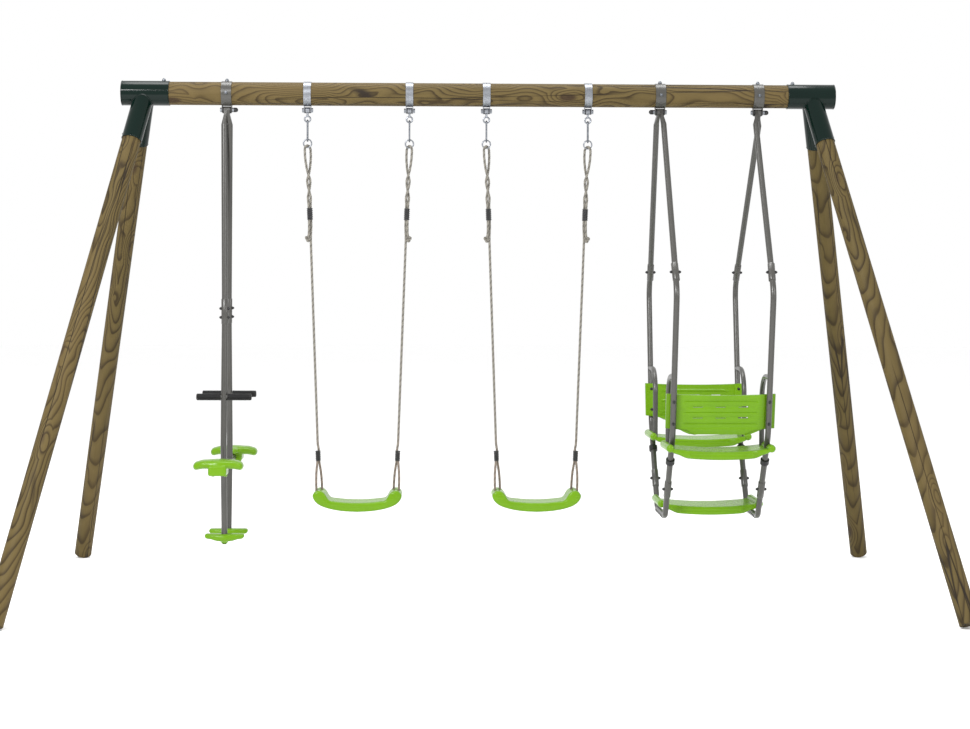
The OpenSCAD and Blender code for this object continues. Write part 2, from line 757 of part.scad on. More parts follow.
// A wing-shaped footrest with a socket for the end of a lower tube
module glider_footrest(rear) {
    lean = atan2(lower_turn_y - footrest_y, footrest_drop - lower_turn_drop);
    color(lime) place_glider(rear) difference() {
        union() {
            for (s = [-1, 1]) hull() {
                translate([s * 76, footrest_y + 6, -footrest_drop + 18]) sphere(r = 9, $fn = 24);
                translate([s * 70, footrest_y - 30, -footrest_drop + 18]) sphere(r = 9, $fn = 24);
                translate([0, footrest_y + 14, -footrest_drop + 10]) cylinder(h = 16, r = 20, $fn = 32);
                translate([0, footrest_y - 22, -footrest_drop + 10]) cylinder(h = 16, r = 18, $fn = 32);
            }
            translate([0, footrest_y, -footrest_drop - 14]) cylinder(h = 34, r1 = 22, r2 = 26);
        }
        translate([0, footrest_y, -footrest_drop]) rotate([-lean, 0, 0])
            cylinder(h = 120, d = frame_tube_d + 2 * run_gap);
    }
}

module glider_bolts() {
    color(black) for (rear = [false, true]) place_glider(rear)
        for (drop = glider_bolt_drops) translate(on_glider_line(drop)
            + [(rear ? 1 : -1) * (tube_d + rest_gap) / 2 * (1 - drop / glider_joint_drop), 0, 0])
            through_bolt(tube_d + 2 * swage_t + 0.2);
}

// A bolt along X with a domed cap at each end, about its middle
module through_bolt(grip) {
    rotate([0, 90, 0]) {
        cylinder(h = grip + 8, d = bolt_d, center = true);
        for (s = [0, 1]) mirror([0, 0, s]) translate([0, 0, grip / 2]) {
            cylinder(h = 4, d = bolt_head_d);
            translate([0, 0, 4]) intersection() {
                sphere(d = bolt_head_d - 3);
                cylinder(h = bolt_head_d, d = bolt_head_d);
            }
        }
    }
}

// ---------- gondola ----------

// Places a thing at the left or right side of the gondola, with +X outwards from its middle
module place_gondola(right) translate([gondola_x, 0, pivot_z]) mirror([right ? 0 : 1, 0, 0]) children();

module place_gondola_end(right, rear) place_gondola(right) mirror([0, rear ? 0 : 1, 0]) children();

half_hanger = gondola_hanger_w / 2;
half_tube = gondola_tube_w / 2;
upper_joint = [half_tube - half_hanger, upper_joint_y, -upper_joint_drop];
side_line = unit([0, upper_joint_y, -upper_joint_drop]);
// The line from the knee to the bottom bend, and the lower joint on it
knee_line = unit([bottom_y - knee_y, knee_drop - bottom_drop]);
lower_joint = [bottom_y, -bottom_drop] - knee_line * 150;

module gondola_upper_tubes(right) {
    color(grey_paint) for (rear = [false, true]) place_gondola_end(right, rear)
        translate([half_hanger, 0, 0]) difference() {
            eye_tube(rear ? 1 : -1, upper_joint, side_sleeve_len / 2 - 2 * web - 1);
            upper_joint_hole();
        }
}

module upper_joint_hole() translate(upper_joint) rotate([0, 90, 0])
    cylinder(h = 80, d = bolt_d + 2 * run_gap, center = true);

// The side tube's flat path, from a distance past the upper joint to one past the lower joint
function side_path(from, to) = [
    [upper_joint_y, -upper_joint_drop] + from * [side_line.y, side_line.z],
    [side_bend_y, -side_bend_drop], [knee_y, -knee_drop], lower_joint + to * knee_line];

// Along the upper tube's axis, between two distances past the upper joint
module on_upper_joint(side, from, to, d) {
    start = [side * (tube_d / 2 + rest_gap / 2), 0, 0];
    axis = unit(upper_joint - start);
    bar(upper_joint + axis * from, upper_joint + axis * to, d);
}

module gondola_side_tubes(right) {
    half_sleeve = side_sleeve_len / 2;
    color(grey_paint) for (rear = [false, true]) place_gondola_end(right, rear) difference() {
        union() {
            translate([half_tube, 0, 0]) bent_tube(
                side_path(half_sleeve - web, half_sleeve - 2 * web), [side_bend_r, knee_bend_r], tube_d);
            translate([half_hanger, 0, 0]) difference() {
                on_upper_joint(rear ? 1 : -1, -half_sleeve, half_sleeve, side_sleeve_d);
                on_upper_joint(rear ? 1 : -1, -half_sleeve - 1, half_sleeve - 2 * web, tube_d + 2 * sleeve_gap);
            }
        }
        translate([half_hanger, 0, 0]) upper_joint_hole();
        translate([half_tube, 0, 0]) lower_joint_hole();
        backrest_bolt_holes();
    }
}

module lower_joint_hole() translate([0, lower_joint.x, lower_joint.y]) rotate([0, 90, 0])
    cylinder(h = 80, d = bolt_d + 2 * run_gap, center = true);

// Along the lower joint's axis, between two distances past the joint
module on_lower_joint(from, to, d) upright() {
    a = lower_joint + knee_line * from;
    b = lower_joint + knee_line * to;
    bar([a.x, a.y, 0], [b.x, b.y, 0], d);
}

// A U whose ends are swaged over the side tubes
module gondola_bottom_tube(right) {
    half_sleeve = side_sleeve_len / 2;
    a = lower_joint + knee_line * (half_sleeve - web);
    color(grey_paint) place_gondola(right) translate([half_tube, 0, 0]) {
        difference() {
            union() {
                bent_tube([a, [bottom_y, -bottom_drop], [-bottom_y, -bottom_drop], [-a.x, a.y]],
                    [bottom_bend_r, bottom_bend_r], tube_d);
                for (rear = [0, 1]) mirror([0, rear, 0]) difference() {
                    on_lower_joint(-half_sleeve, half_sleeve, side_sleeve_d);
                    on_lower_joint(-half_sleeve - 1, half_sleeve - 2 * web + 1, tube_d + 2 * sleeve_gap);
                }
            }
            for (rear = [0, 1]) mirror([0, rear, 0]) lower_joint_hole();
        }
    }
}

// How far a side tube stands from the middle, between its bend and its knee
function side_y(drop) = side_bend_y + (knee_y - side_bend_y) * (drop - side_bend_drop) / (knee_drop - side_bend_drop);

back_lean = atan2(side_bend_y - knee_y, knee_drop - side_bend_drop);
back_bolt_z = 47;

// The middle of a backrest, with +Y outwards and +Z up along the side tubes
module place_back() translate([0, side_y(backrest_drop), -backrest_drop]) rotate([-back_lean, 0, 0]) children();

module backrest_bolt_holes() {
    place_back() for (z = [-1, 1]) translate([half_tube, 0, z * back_bolt_z]) rotate([90, 0, 0])
        cylinder(h = 80, d = bolt_d + 2 * run_gap, center = true);
}

module gondola_armrests(right) {
    color(grey_paint) for (rear = [false, true]) place_gondola_end(right, rear) translate([half_tube, 0, 0])
        difference() {
            bent_tube([[side_y(armrest_top_drop), -armrest_top_drop], [armrest_leg_y, -armrest_top_drop],
                [armrest_leg_y, -gondola_seat_drop]], [armrest_bend_r], armrest_d);
            bar([0, side_bend_y, -side_bend_drop], [0, knee_y, -knee_drop], tube_d);
        }
}

module gondola_backrest(rear) {
    lip = 25;
    color(lime) translate([gondola_x, 0, pivot_z]) mirror([0, rear ? 0 : 1, 0]) difference() {
        place_back() translate([0, -tube_d / 2, 0]) {
            translate([0, -backrest_t / 2, 0]) cube([backrest_w, backrest_t, backrest_h], center = true);
            rotate([90, 0, 0]) linear_extrude(backrest_t) polygon([
                [-half_tube + 14, -backrest_h / 2 + 5], [-half_tube + 14, -backrest_h / 2],
                [-half_tube + 71, -backrest_h / 2 - lip], [half_tube - 71, -backrest_h / 2 - lip],
                [half_tube - 14, -backrest_h / 2], [half_tube - 14, -backrest_h / 2 + 5]]);
        }
        place_back() for (x = [-95, 0, 95], z = [19, -28])
            translate([x, -tube_d / 2 - backrest_t / 2, z]) cube([41, backrest_t + 2, 6], center = true);
        for (s = [0, 1]) mirror([s, 0, 0]) backrest_bolt_holes();
    }
}

// The moulding used for the gondola's seats and its platform: a board that sags between two
// raised round ends, about the middle of its top
module sagging_board() {
    half = gondola_seat_w / 2 - lobe_r;
    difference() {
        intersection() {
            translate([0, 0, seat_sag_r - seat_skin_t]) rotate([90, 0, 0])
                cylinder(h = gondola_seat_depth, r = seat_sag_r, center = true, $fn = 400);
            cube([2 * half, gondola_seat_depth, 120], center = true);
        }
        translate([0, 0, seat_sag_r]) rotate([90, 0, 0])
            cylinder(h = gondola_seat_depth + 2, r = seat_sag_r, center = true, $fn = 400);
    }
    for (s = [-1, 1]) translate([s * half, 0, lobe_rise]) rotate([90, 0, 0])
        cylinder(h = gondola_seat_depth, r = lobe_r, center = true);
}

module gondola_seat(rear) {
    color(lime) translate([gondola_x, 0, pivot_z]) mirror([0, rear ? 0 : 1, 0]) difference() {
        translate([0, gondola_seat_y, -gondola_seat_drop]) sagging_board();
        for (s = [-1, 1]) translate([s * half_tube, 0, 0]) {
            upright() bar([knee_y, -knee_drop, 0], [bottom_y, -bottom_drop, 0], tube_d + 2 * rest_gap);
            translate([0, armrest_leg_y, -gondola_seat_drop]) cylinder(h = 60, d = armrest_d + 2 * run_gap);
        }
    }
}

module gondola_platform() color(lime) translate([gondola_x, 0, pivot_z - platform_drop]) sagging_board();

// Black collars on the side tubes, under the seats' ends
module gondola_collars() {
    mid = [bottom_y, -bottom_drop] - knee_line * (collar_drop - bottom_drop) / knee_line.y;
    along = knee_line * 11;
    color(black) for (right = [false, true], rear = [false, true]) place_gondola_end(right, rear)
        translate([half_tube, 0, 0]) upright() difference() {
            bar([mid.x - along.x, mid.y - along.y, 0], [mid.x + along.x, mid.y + along.y, 0], 37);
            bar([knee_y, -knee_drop, 0], [bottom_y, -bottom_drop, 0], tube_d + 2 * run_gap);
        }
}

// Black half shells under the bottom tubes, along the platform
module platform_clips() {
    clip_len = gondola_seat_depth - 40;
    outer = tube_d / 2 + 3;
    color(black) for (right = [false, true]) place_gondola(right) translate([half_tube, 0, -bottom_drop])
        difference() {
            intersection() {
                rotate([90, 0, 0]) cylinder(h = clip_len, r = outer, center = true);
                translate([0, 0, -outer]) cube([3 * outer, clip_len, 2 * outer], center = true);
            }
            rotate([90, 0, 0]) cylinder(h = clip_len + 2, d = tube_d + 2 * run_gap, center = true);
        }
}

module gondola_bolts() {
    color(black) for (right = [false, true], rear = [false, true]) place_gondola_end(right, rear) {
        translate([half_hanger, 0, 0]) translate(upper_joint) through_bolt(side_sleeve_d + 0.5);
        translate([half_tube, lower_joint.x, lower_joint.y]) through_bolt(side_sleeve_d);
        place_back() for (z = [-1, 1]) translate([half_tube, -backrest_t / 2, z * back_bolt_z])
            rotate(90) through_bolt(tube_d + backrest_t);
    }
}

// Black plugs in the ends of the glider's seat bar and under its footrests
module glider_end_caps() {
    color(black) for (rear = [false, true]) place_glider(rear) {
        translate([0, seat_bar_end, -seat_bar_drop]) rotate([-90, 0, 0]) {
            cylinder(h = 4, d = frame_tube_d);
            translate([0, 0, -14]) cylinder(h = 15, d = frame_tube_d - 2 * tube_wall);
        }
        translate([0, footrest_y, -footrest_drop - 20]) cylinder(h = 6, d = 18);
    }
}

// ---------- assembly ----------

beam();
corner_bracket(-1);  // corner_bracket_left
corner_bracket(1);  // corner_bracket_right
leg(-1, -1);  // leg_front_left
leg(1, -1);  // leg_front_right
leg(-1, 1);  // leg_rear_left
leg(1, 1);  // leg_rear_right
bracket_screws();
swing_straps();
glider_strap();
gondola_straps();
pivot_bolts();
pivot_bushes();
strap_screws();
pivot_caps();
hooks(swing_a_x);  // hooks_a
links(swing_a_x);  // links_a
rings(swing_a_x);  // rings_a
rope(swing_a_x, -1);  // rope_a_left
rope(swing_a_x, 1);  // rope_a_right
adjusters(swing_a_x);  // adjusters_a
sleeves(swing_a_x);  // sleeves_a
swing_seat(swing_a_x);  // swing_seat_a
hooks(swing_b_x);  // hooks_b
links(swing_b_x);  // links_b
rings(swing_b_x);  // rings_b
rope(swing_b_x, -1);  // rope_b_left
rope(swing_b_x, 1);  // rope_b_right
adjusters(swing_b_x);  // adjusters_b
sleeves(swing_b_x);  // sleeves_b
swing_seat(swing_b_x);  // swing_seat_b
glider_upper_tube(false);  // glider_upper_tube_front
glider_upper_tube(true);  // glider_upper_tube_rear
glider_lower_tube(false);  // glider_lower_tube_front
glider_lower_tube(true);  // glider_lower_tube_rear
glider_seat_bar();
glider_handlebars();
glider_grips();
glider_seat(false);  // glider_seat_front
glider_seat(true);  // glider_seat_rear
glider_footrest(false);  // glider_footrest_front
glider_footrest(true);  // glider_footrest_rear
glider_bolts();
glider_end_caps();
gondola_upper_tubes(false);  // gondola_upper_tubes_left
gondola_upper_tubes(true);  // gondola_upper_tubes_right
gondola_side_tubes(false);  // gondola_side_tubes_left
gondola_side_tubes(true);  // gondola_side_tubes_right
gondola_bottom_tube(false);  // gondola_bottom_tube_left
gondola_bottom_tube(true);  // gondola_bottom_tube_right
gondola_armrests(false);  // gondola_armrests_left
gondola_armrests(true);  // gondola_armrests_right
gondola_backrest(false);  // gondola_backrest_front
gondola_backrest(true);  // gondola_backrest_rear
gondola_seat(false);  // gondola_seat_front
gondola_seat(true);  // gondola_seat_rear
gondola_platform();
gondola_bolts();
gondola_collars();
platform_clips();
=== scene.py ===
import math

import bmesh
import bpy
from mathutils import Matrix, Vector


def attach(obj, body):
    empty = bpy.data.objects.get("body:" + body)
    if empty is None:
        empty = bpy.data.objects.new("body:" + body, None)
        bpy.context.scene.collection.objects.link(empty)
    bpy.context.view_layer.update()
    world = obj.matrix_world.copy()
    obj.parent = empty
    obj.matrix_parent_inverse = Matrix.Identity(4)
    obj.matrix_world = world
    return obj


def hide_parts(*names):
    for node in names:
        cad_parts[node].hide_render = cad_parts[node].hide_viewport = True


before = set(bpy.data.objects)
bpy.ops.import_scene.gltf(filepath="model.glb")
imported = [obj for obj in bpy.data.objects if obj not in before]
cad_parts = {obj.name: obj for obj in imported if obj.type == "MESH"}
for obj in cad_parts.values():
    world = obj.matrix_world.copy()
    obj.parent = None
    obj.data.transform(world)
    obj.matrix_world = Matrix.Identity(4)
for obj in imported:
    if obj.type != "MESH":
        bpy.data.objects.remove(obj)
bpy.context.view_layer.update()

# Swing set looks: a timber frame with a glider, two rope swings and a face-to-face gondola.
# Metres, in the CAD's frame: X along the beam, -Y the front, Z up.

BEAM_Z = 2.144
PIVOT_Z = 2.074
SWINGS = {"a": -0.523, "b": 0.250}
GLIDER_X = -1.090
GONDOLA_X = 0.996
HALF_TUBE = 0.199
TUBE_R = 0.0125

# ---------- camera and light ----------


def set_camera():
    camera = bpy.data.objects.new("camera", bpy.data.cameras.new("camera"))
    bpy.context.collection.objects.link(camera)
    camera.location = (-0.220, -8.594, 1.360)
    camera.rotation_euler = [math.radians(a) for a in (90 - 0.946, -0.183, -1.573)]
    camera.data.lens = 73.5588
    camera.data.shift_x = 0.002371
    camera.data.shift_y = -0.05732
    camera.data.clip_end = 200
    bpy.context.scene.camera = camera


def add_soft_light(name, place, aim, size, power, colour=(1, 1, 1)):
    light = bpy.data.objects.new(name, bpy.data.lights.new(name, "AREA"))
    bpy.context.collection.objects.link(light)
    light.location = place
    light.rotation_euler = (Vector(aim) - Vector(place)).to_track_quat("-Z", "Y").to_euler()
    light.data.shape = "RECTANGLE"
    light.data.size, light.data.size_y = size
    light.data.energy = power
    light.data.color = colour


def set_studio():
    world = bpy.data.worlds.new("studio")
    bpy.context.scene.world = world
    world.use_nodes = True
    background = world.node_tree.nodes["Background"]
    background.inputs["Color"].default_value = (1, 1, 1, 1)
    background.inputs["Strength"].default_value = 1.0
    bpy.context.scene.view_settings.view_transform = "Standard"
    add_soft_light("key", (-3.5, -5.5, 4.6), (0, 0, 1.2), (2.2, 1.4), 430)
    add_soft_light("fill", (4.5, -4.5, 3.0), (0, 0, 1.2), (2.0, 2.0), 110)
    add_soft_light("top", (0, 0.5, 5.2), (0, 0, 1.0), (4.0, 1.6), 140)


set_camera()
set_studio()

# ---------- node tools ----------


def add_node(tree, kind, links=None, **settings):
    """Adds a node; links maps its input names to values or to other nodes' outputs."""
    node = tree.nodes.new(kind)
    for key, value in settings.items():
        setattr(node, key, value)
    for key, value in (links or {}).items():
        socket = node.inputs[key]
        if isinstance(value, bpy.types.NodeSocket):
            tree.links.new(value, socket)
        else:
            socket.default_value = value
    return node


def math_node(tree, operation, a, b=0.0, c=0.0):
    return add_node(tree, "ShaderNodeMath", {0: a, 1: b, 2: c}, operation=operation).outputs[0]


def ramp(tree, value, stops):
    node = add_node(tree, "ShaderNodeValToRGB", {"Fac": value})
    marks = node.color_ramp.elements
    while len(marks) < len(stops):
        marks.new(0.5)
    for mark, (place, colour) in zip(marks, stops):
        mark.position = place
        mark.color = (*colour, 1) if hasattr(colour, "__len__") else (colour, colour, colour, 1)
    return node.outputs["Color"]


def mix_colour(tree, factor, a, b, blend="MIX"):
    node = add_node(tree, "ShaderNodeMix", data_type="RGBA", blend_type=blend)
    for socket, value in ((node.inputs[0], factor), (node.inputs[6], a), (node.inputs[7], b)):
        if isinstance(value, bpy.types.NodeSocket):
            tree.links.new(value, socket)
        else:
            socket.default_value = value
    return node.outputs[2]


def from_range(tree, value, start, end, low=0.0, high=1.0):
    """A value that runs from low to high while another runs from start to end, and stops there"""
    links = {"Value": value, "From Min": start, "From Max": end, "To Min": low, "To Max": high}
    return add_node(tree, "ShaderNodeMapRange", links).outputs[0]


def vector_math(tree, operation, a, b=(0, 0, 0)):
    return add_node(tree, "ShaderNodeVectorMath", {0: a, 1: b}, operation=operation).outputs[0]


def new_group(name, inputs, outputs):
    group = bpy.data.node_groups.new(name, "ShaderNodeTree")
    for label, kind, value in inputs:
        socket = group.interface.new_socket(label, in_out="INPUT", socket_type=kind)
        if value is not None:
            socket.default_value = value
    for label, kind in outputs:
        group.interface.new_socket(label, in_out="OUTPUT", socket_type=kind)
    enter = group.nodes.new("NodeGroupInput")
    leave = group.nodes.new("NodeGroupOutput")
    return group, enter, leave


def scaled(tree, vector, scale):
    return add_node(tree, "ShaderNodeVectorMath", {0: vector, 1: scale}, operation="MULTIPLY").outputs[0]


def noise(tree, vector, scale, detail=3.0, roughness=0.5):
    links = {"Vector": vector, "Scale": scale, "Detail": detail, "Roughness": roughness}
    return add_node(tree, "ShaderNodeTexNoise", links).outputs[0]


def make_mottle_group():
    """Cloudy shade, handling marks and a fine skin for paint and moulded plastic"""
    group, enter, leave = new_group(
        "skin mottle",
        [("Vector", "NodeSocketVector", None), ("Grain", "NodeSocketFloat", 900.0),
         ("Cloud", "NodeSocketFloat", 6.0), ("Dust", "NodeSocketFloat", 0.3)],
        [("Shade", "NodeSocketFloat"), ("Marks", "NodeSocketFloat"), ("Height", "NodeSocketFloat"),
         ("Dust", "NodeSocketFloat")])
    vector = enter.outputs["Vector"]
    cloud = noise(group, vector, enter.outputs["Cloud"], 4)
    grain = noise(group, vector, enter.outputs["Grain"], 2)
    scuffs = noise(group, scaled(group, vector, (9, 60, 60)), 3.0, 5, 0.7)
    marks = from_range(group, scuffs, 0.52, 0.75)
    normal = add_node(group, "ShaderNodeNewGeometry").outputs["Normal"]
    up = add_node(group, "ShaderNodeSeparateXYZ", {0: normal}).outputs["Z"]
    top = from_range(group, up, 0.4, 1.0)
    dust = math_node(group, "MULTIPLY", math_node(group, "MULTIPLY", top, cloud), enter.outputs["Dust"])
    for label, value in (("Shade", cloud), ("Marks", marks), ("Height", grain), ("Dust", dust)):
        group.links.new(value, leave.inputs[label])
    return group


def make_timber_group():
    """Round timber about the X axis: growth rings, knots, drying cracks and fibres"""
    group, enter, leave = new_group(
        "timber grain",
        [("Vector", "NodeSocketVector", None), ("Tone", "NodeSocketFloat", 0.5)],
        [("Color", "NodeSocketColor"), ("Roughness", "NodeSocketFloat"), ("Height", "NodeSocketFloat")])
    vector = enter.outputs["Vector"]
    links = {"Vector": scaled(group, vector, (2.4, 4, 4)), "Scale": 1.0, "Detail": 2.0}
    drift = add_node(group, "ShaderNodeTexNoise", links).outputs["Color"]
    drift = vector_math(group, "SUBTRACT", drift, (0.5, 0.5, 0.5))
    links = {"Vector": scaled(group, vector, (3.4, 8, 8)), "Scale": 1.0}
    knots = add_node(group, "ShaderNodeTexVoronoi", links)
    near_knot = from_range(group, knots.outputs["Distance"], 0.34, 0.0)
    flat = scaled(group, vector, (0.035, 1, 1))
    moved = vector_math(group, "ADD", scaled(group, drift, (0, 0.075, 0.075)), flat)
    off_pith = vector_math(group, "ADD", moved, (0, 0.012, 0.009))
    radius = add_node(group, "ShaderNodeVectorMath", {0: off_pith}, operation="LENGTH").outputs["Value"]
    pulled = math_node(group, "MULTIPLY_ADD", near_knot, 0.016, radius)
    rings = math_node(group, "FRACT", math_node(group, "MULTIPLY", pulled, 260.0))
    late_wood = [(0.0, 0.15), (0.25, 0.0), (0.62, 0.25), (0.88, 1.0), (0.96, 0.9), (1.0, 0.15)]
    late = ramp(group, rings, late_wood)
    fibre = noise(group, scaled(group, vector, (6, 420, 420)), 1.0, 3)
    stain = noise(group, scaled(group, vector, (1.4, 9, 9)), 1.0, 3)
    light = mix_colour(group, stain, (0.1305, 0.0889, 0.0332, 1), (0.0921, 0.0675, 0.0201, 1))
    dark = mix_colour(group, stain, (0.0247, 0.0124, 0.0030, 1), (0.0179, 0.0115, 0.0025, 1))
    tone = math_node(group, "MULTIPLY", late, from_range(group, stain, 0.3, 0.7, 0.65, 1.0))
    wood = mix_colour(group, tone, light, dark)
    wood = mix_colour(group, math_node(group, "MULTIPLY", fibre, 0.35), wood, (0.0459, 0.0292, 0.0087, 1))
    core = from_range(group, near_knot, 0.52, 0.72)
    wood = mix_colour(group, math_node(group, "MULTIPLY", core, 0.85), wood, (0.030, 0.016, 0.007, 1))
    links = {"Vector": scaled(group, vector, (0.7, 22, 22)), "Scale": 1.0}
    cells = add_node(group, "ShaderNodeTexVoronoi", links, feature="DISTANCE_TO_EDGE").outputs["Distance"]
    where = noise(group, scaled(group, vector, (0.9, 5, 5)), 1.0, 2)
    line = from_range(group, cells, 0.035, 0.008)
    here = from_range(group, where, 0.5, 0.58)
    crack = math_node(group, "MULTIPLY", line, here)
    wood = mix_colour(group, crack, wood, (0.016, 0.010, 0.005, 1))
    wood = mix_colour(group, enter.outputs["Tone"], wood,
                      mix_colour(group, 1.0, wood, (0.78, 0.80, 0.70, 1), "MULTIPLY"))
    height = math_node(group, "MULTIPLY_ADD", fibre, 0.25, math_node(group, "MULTIPLY", late, -0.25))
    height = math_node(group, "MULTIPLY_ADD", crack, -2.0, height)
    rough = math_node(group, "MULTIPLY_ADD", fibre, 0.2, 0.55)
    for label, value in (("Color", wood), ("Roughness", rough), ("Height", height)):
        group.links.new(value, leave.inputs[label])
    return group


MOTTLE = make_mottle_group()
TIMBER = make_timber_group()


def new_material(name, **shader_values):
    material = bpy.data.materials.new(name)
    material.use_nodes = True
    shader = material.node_tree.nodes["Principled BSDF"]
    for key, value in shader_values.items():
        shader.inputs[key.replace("_", " ").title().replace("Ior", "IOR")].default_value = value
    return material, material.node_tree, shader


def object_vector(tree):
    return add_node(tree, "ShaderNodeTexCoord").outputs["Object"]


def add_bump(tree, shader, height, distance, strength=1.0):
    bump = add_node(tree, "ShaderNodeBump", {"Height": height, "Distance": distance, "Strength": strength})
    tree.links.new(bump.outputs["Normal"], shader.inputs["Normal"])


def coated(name, colour, shade, rough, grain, bump, dust=0.3, marks=0.12, **shader_values):
    """Paint or moulded plastic: a colour that drifts to a second shade, with marks and a fine skin"""
    material, tree, shader = new_material(name, **shader_values)
    group = add_node(tree, "ShaderNodeGroup", node_tree=MOTTLE)
    tree.links.new(object_vector(tree), group.inputs["Vector"])
    group.inputs["Grain"].default_value = grain
    group.inputs["Dust"].default_value = dust
    tint = mix_colour(tree, group.outputs["Shade"], (*colour, 1), (*shade, 1))
    tint = mix_colour(tree, group.outputs["Dust"], tint, (0.62, 0.62, 0.58, 1))
    tree.links.new(tint, shader.inputs["Base Color"])
    roughness = math_node(tree, "MULTIPLY_ADD", group.outputs["Marks"], marks,
                          math_node(tree, "MULTIPLY_ADD", group.outputs["Dust"], 0.4, rough))
    tree.links.new(roughness, shader.inputs["Roughness"])
    add_bump(tree, shader, group.outputs["Height"], bump)
    return material


def galvanised(name, light, dark, rough, cell):
    """Hot-dip zinc: pale crystals of slightly different shade and gloss"""
    material, tree, shader = new_material(name, metallic=1.0)
    vector = object_vector(tree)
    cells = add_node(tree, "ShaderNodeTexVoronoi", {"Vector": vector, "Scale": cell})
    value = add_node(tree, "ShaderNodeSeparateColor", {0: cells.outputs["Color"]}).outputs[0]
    haze = noise(tree, vector, 60.0, 4, 0.6)
    tree.links.new(mix_colour(tree, value, (*light, 1), (*dark, 1)), shader.inputs["Base Color"])
    mixed = math_node(tree, "MULTIPLY_ADD", value, 0.15, math_node(tree, "MULTIPLY_ADD", haze, 0.2, rough))
    tree.links.new(mixed, shader.inputs["Roughness"])
    add_bump(tree, shader, haze, 0.0002)
    return material


def timber_material(name, start, direction, tone):
    """Timber whose grain runs along a beam or leg through start"""
    material, tree, shader = new_material(name, specular_ior_level=0.2)
    turn = Vector(direction).rotation_difference(Vector((1, 0, 0))).to_matrix()
    mapping = add_node(tree, "ShaderNodeMapping", {"Vector": object_vector(tree)})
    mapping.inputs["Rotation"].default_value = turn.to_euler("XYZ")
    shift = -(turn @ Vector(start))
    mapping.inputs["Location"].default_value = (shift.x + 3 * tone, shift.y, shift.z)
    group = add_node(tree, "ShaderNodeGroup", {"Vector": mapping.outputs[0], "Tone": tone}, node_tree=TIMBER)
    tree.links.new(group.outputs["Color"], shader.inputs["Base Color"])
    tree.links.new(group.outputs["Roughness"], shader.inputs["Roughness"])
    add_bump(tree, shader, group.outputs["Height"], 0.0012)
    return material


def rope_material():
    """Three-strand rope: yarns that run aslant over each strand, browner towards the seat, with painted
    shade in the grooves between yarns and over most of one strand
    """
    material, tree, shader = new_material("laid rope", sheen_weight=0.25, sheen_roughness=0.5)
    uv = add_node(tree, "ShaderNodeUVMap", uv_map="lay").outputs[0]
    split = add_node(tree, "ShaderNodeSeparateXYZ", {0: uv})
    slant = math_node(tree, "MULTIPLY_ADD", split.outputs["Y"], 2.0, split.outputs["X"])
    yarn = math_node(tree, "PINGPONG", math_node(tree, "MULTIPLY", slant, 7.0), 0.5)
    lint = noise(tree, object_vector(tree), 700.0, 4, 0.65)
    cloud = noise(tree, object_vector(tree), 25.0, 2)
    height = add_node(tree, "ShaderNodeSeparateXYZ", {0: object_vector(tree)}).outputs["Z"]
    low = from_range(tree, height, 0.75, 0.50)
    pale = mix_colour(tree, low, (0.250, 0.234, 0.196, 1), (0.228, 0.158, 0.112, 1))
    # painted shade: the dark colour that stands in for the shadow in the grooves between yarns and strands
    painted_shade = mix_colour(tree, low, (0.034, 0.029, 0.022, 1), (0.054, 0.029, 0.018, 1))
    # the edges of each yarn are painted in that shade, as if shadowed in their grooves
    colour = mix_colour(tree, ramp(tree, yarn, [(0.02, 1.0), (0.2, 0.25), (0.5, 0.0)]), pale, painted_shade)
    strand = math_node(tree, "LESS_THAN", split.outputs["X"], 1.0)
    # one strand is painted almost wholly in the shade colour, giving painted dark stripes along the lay
    colour = mix_colour(tree, math_node(tree, "MULTIPLY", strand, 0.92), colour, painted_shade)
    colour = mix_colour(tree, math_node(tree, "MULTIPLY", cloud, 0.25), colour, painted_shade)
    colour = mix_colour(tree, math_node(tree, "MULTIPLY", lint, 0.4), colour, (0.34, 0.32, 0.28, 1))
    tree.links.new(colour, shader.inputs["Base Color"])
    shader.inputs["Roughness"].default_value = 0.85
    add_bump(tree, shader, math_node(tree, "MULTIPLY_ADD", lint, 0.4, yarn), 0.0006)
    return material


LIME = coated("lime plastic", (0.120, 0.262, 0.002), (0.090, 0.208, 0.001), 0.25, 1100, 0.00008,
              dust=0.01, specular_ior_level=0.2, coat_weight=0.04, coat_roughness=0.08)
GREY = coated("grey powder coat", (0.048, 0.046, 0.041), (0.034, 0.033, 0.029), 0.30, 1500, 0.00012,
              dust=0.03, coat_weight=0.15, coat_roughness=0.25)
GREEN = coated("bottle green gloss", (0.0015, 0.0085, 0.0062), (0.001, 0.0062, 0.0045), 0.09, 700, 0.00004,
               dust=0.01, marks=0.06, specular_ior_level=0.14, coat_weight=0.10, coat_roughness=0.04)
BLACK = coated("black moulding", (0.009, 0.009, 0.010), (0.014, 0.014, 0.015), 0.36, 1300, 0.00012,
               dust=0.02, specular_ior_level=0.35)
BLACK_CAP = coated("black bolt cap", (0.008, 0.008, 0.009), (0.013, 0.013, 0.014), 0.28, 1300, 0.00006,
                   dust=0.02, specular_ior_level=0.35)
RUBBER = coated("black rubber", (0.005, 0.005, 0.005), (0.009, 0.009, 0.009), 0.5, 800, 0.0002, dust=0.0,
                specular_ior_level=0.2)
ZINC = galvanised("zinc", (0.30, 0.315, 0.34), (0.17, 0.18, 0.20), 0.20, 420)
DARK_ZINC = galvanised("dark zinc", (0.20, 0.21, 0.23), (0.10, 0.11, 0.12), 0.28, 220)
ROPE = rope_material()
BEAM_WOOD = timber_material("beam timber", (0, 0, BEAM_Z), (1, 0, 0), 0.1)

# ---------- modelling tools ----------


def clear_selection():
    if bpy.context.object and bpy.context.object.mode != "OBJECT":
        bpy.ops.object.mode_set(mode="OBJECT")
    bpy.ops.object.select_all(action="DESELECT")


def take(piece):
    clear_selection()
    piece.select_set(True)
    bpy.context.view_layer.objects.active = piece


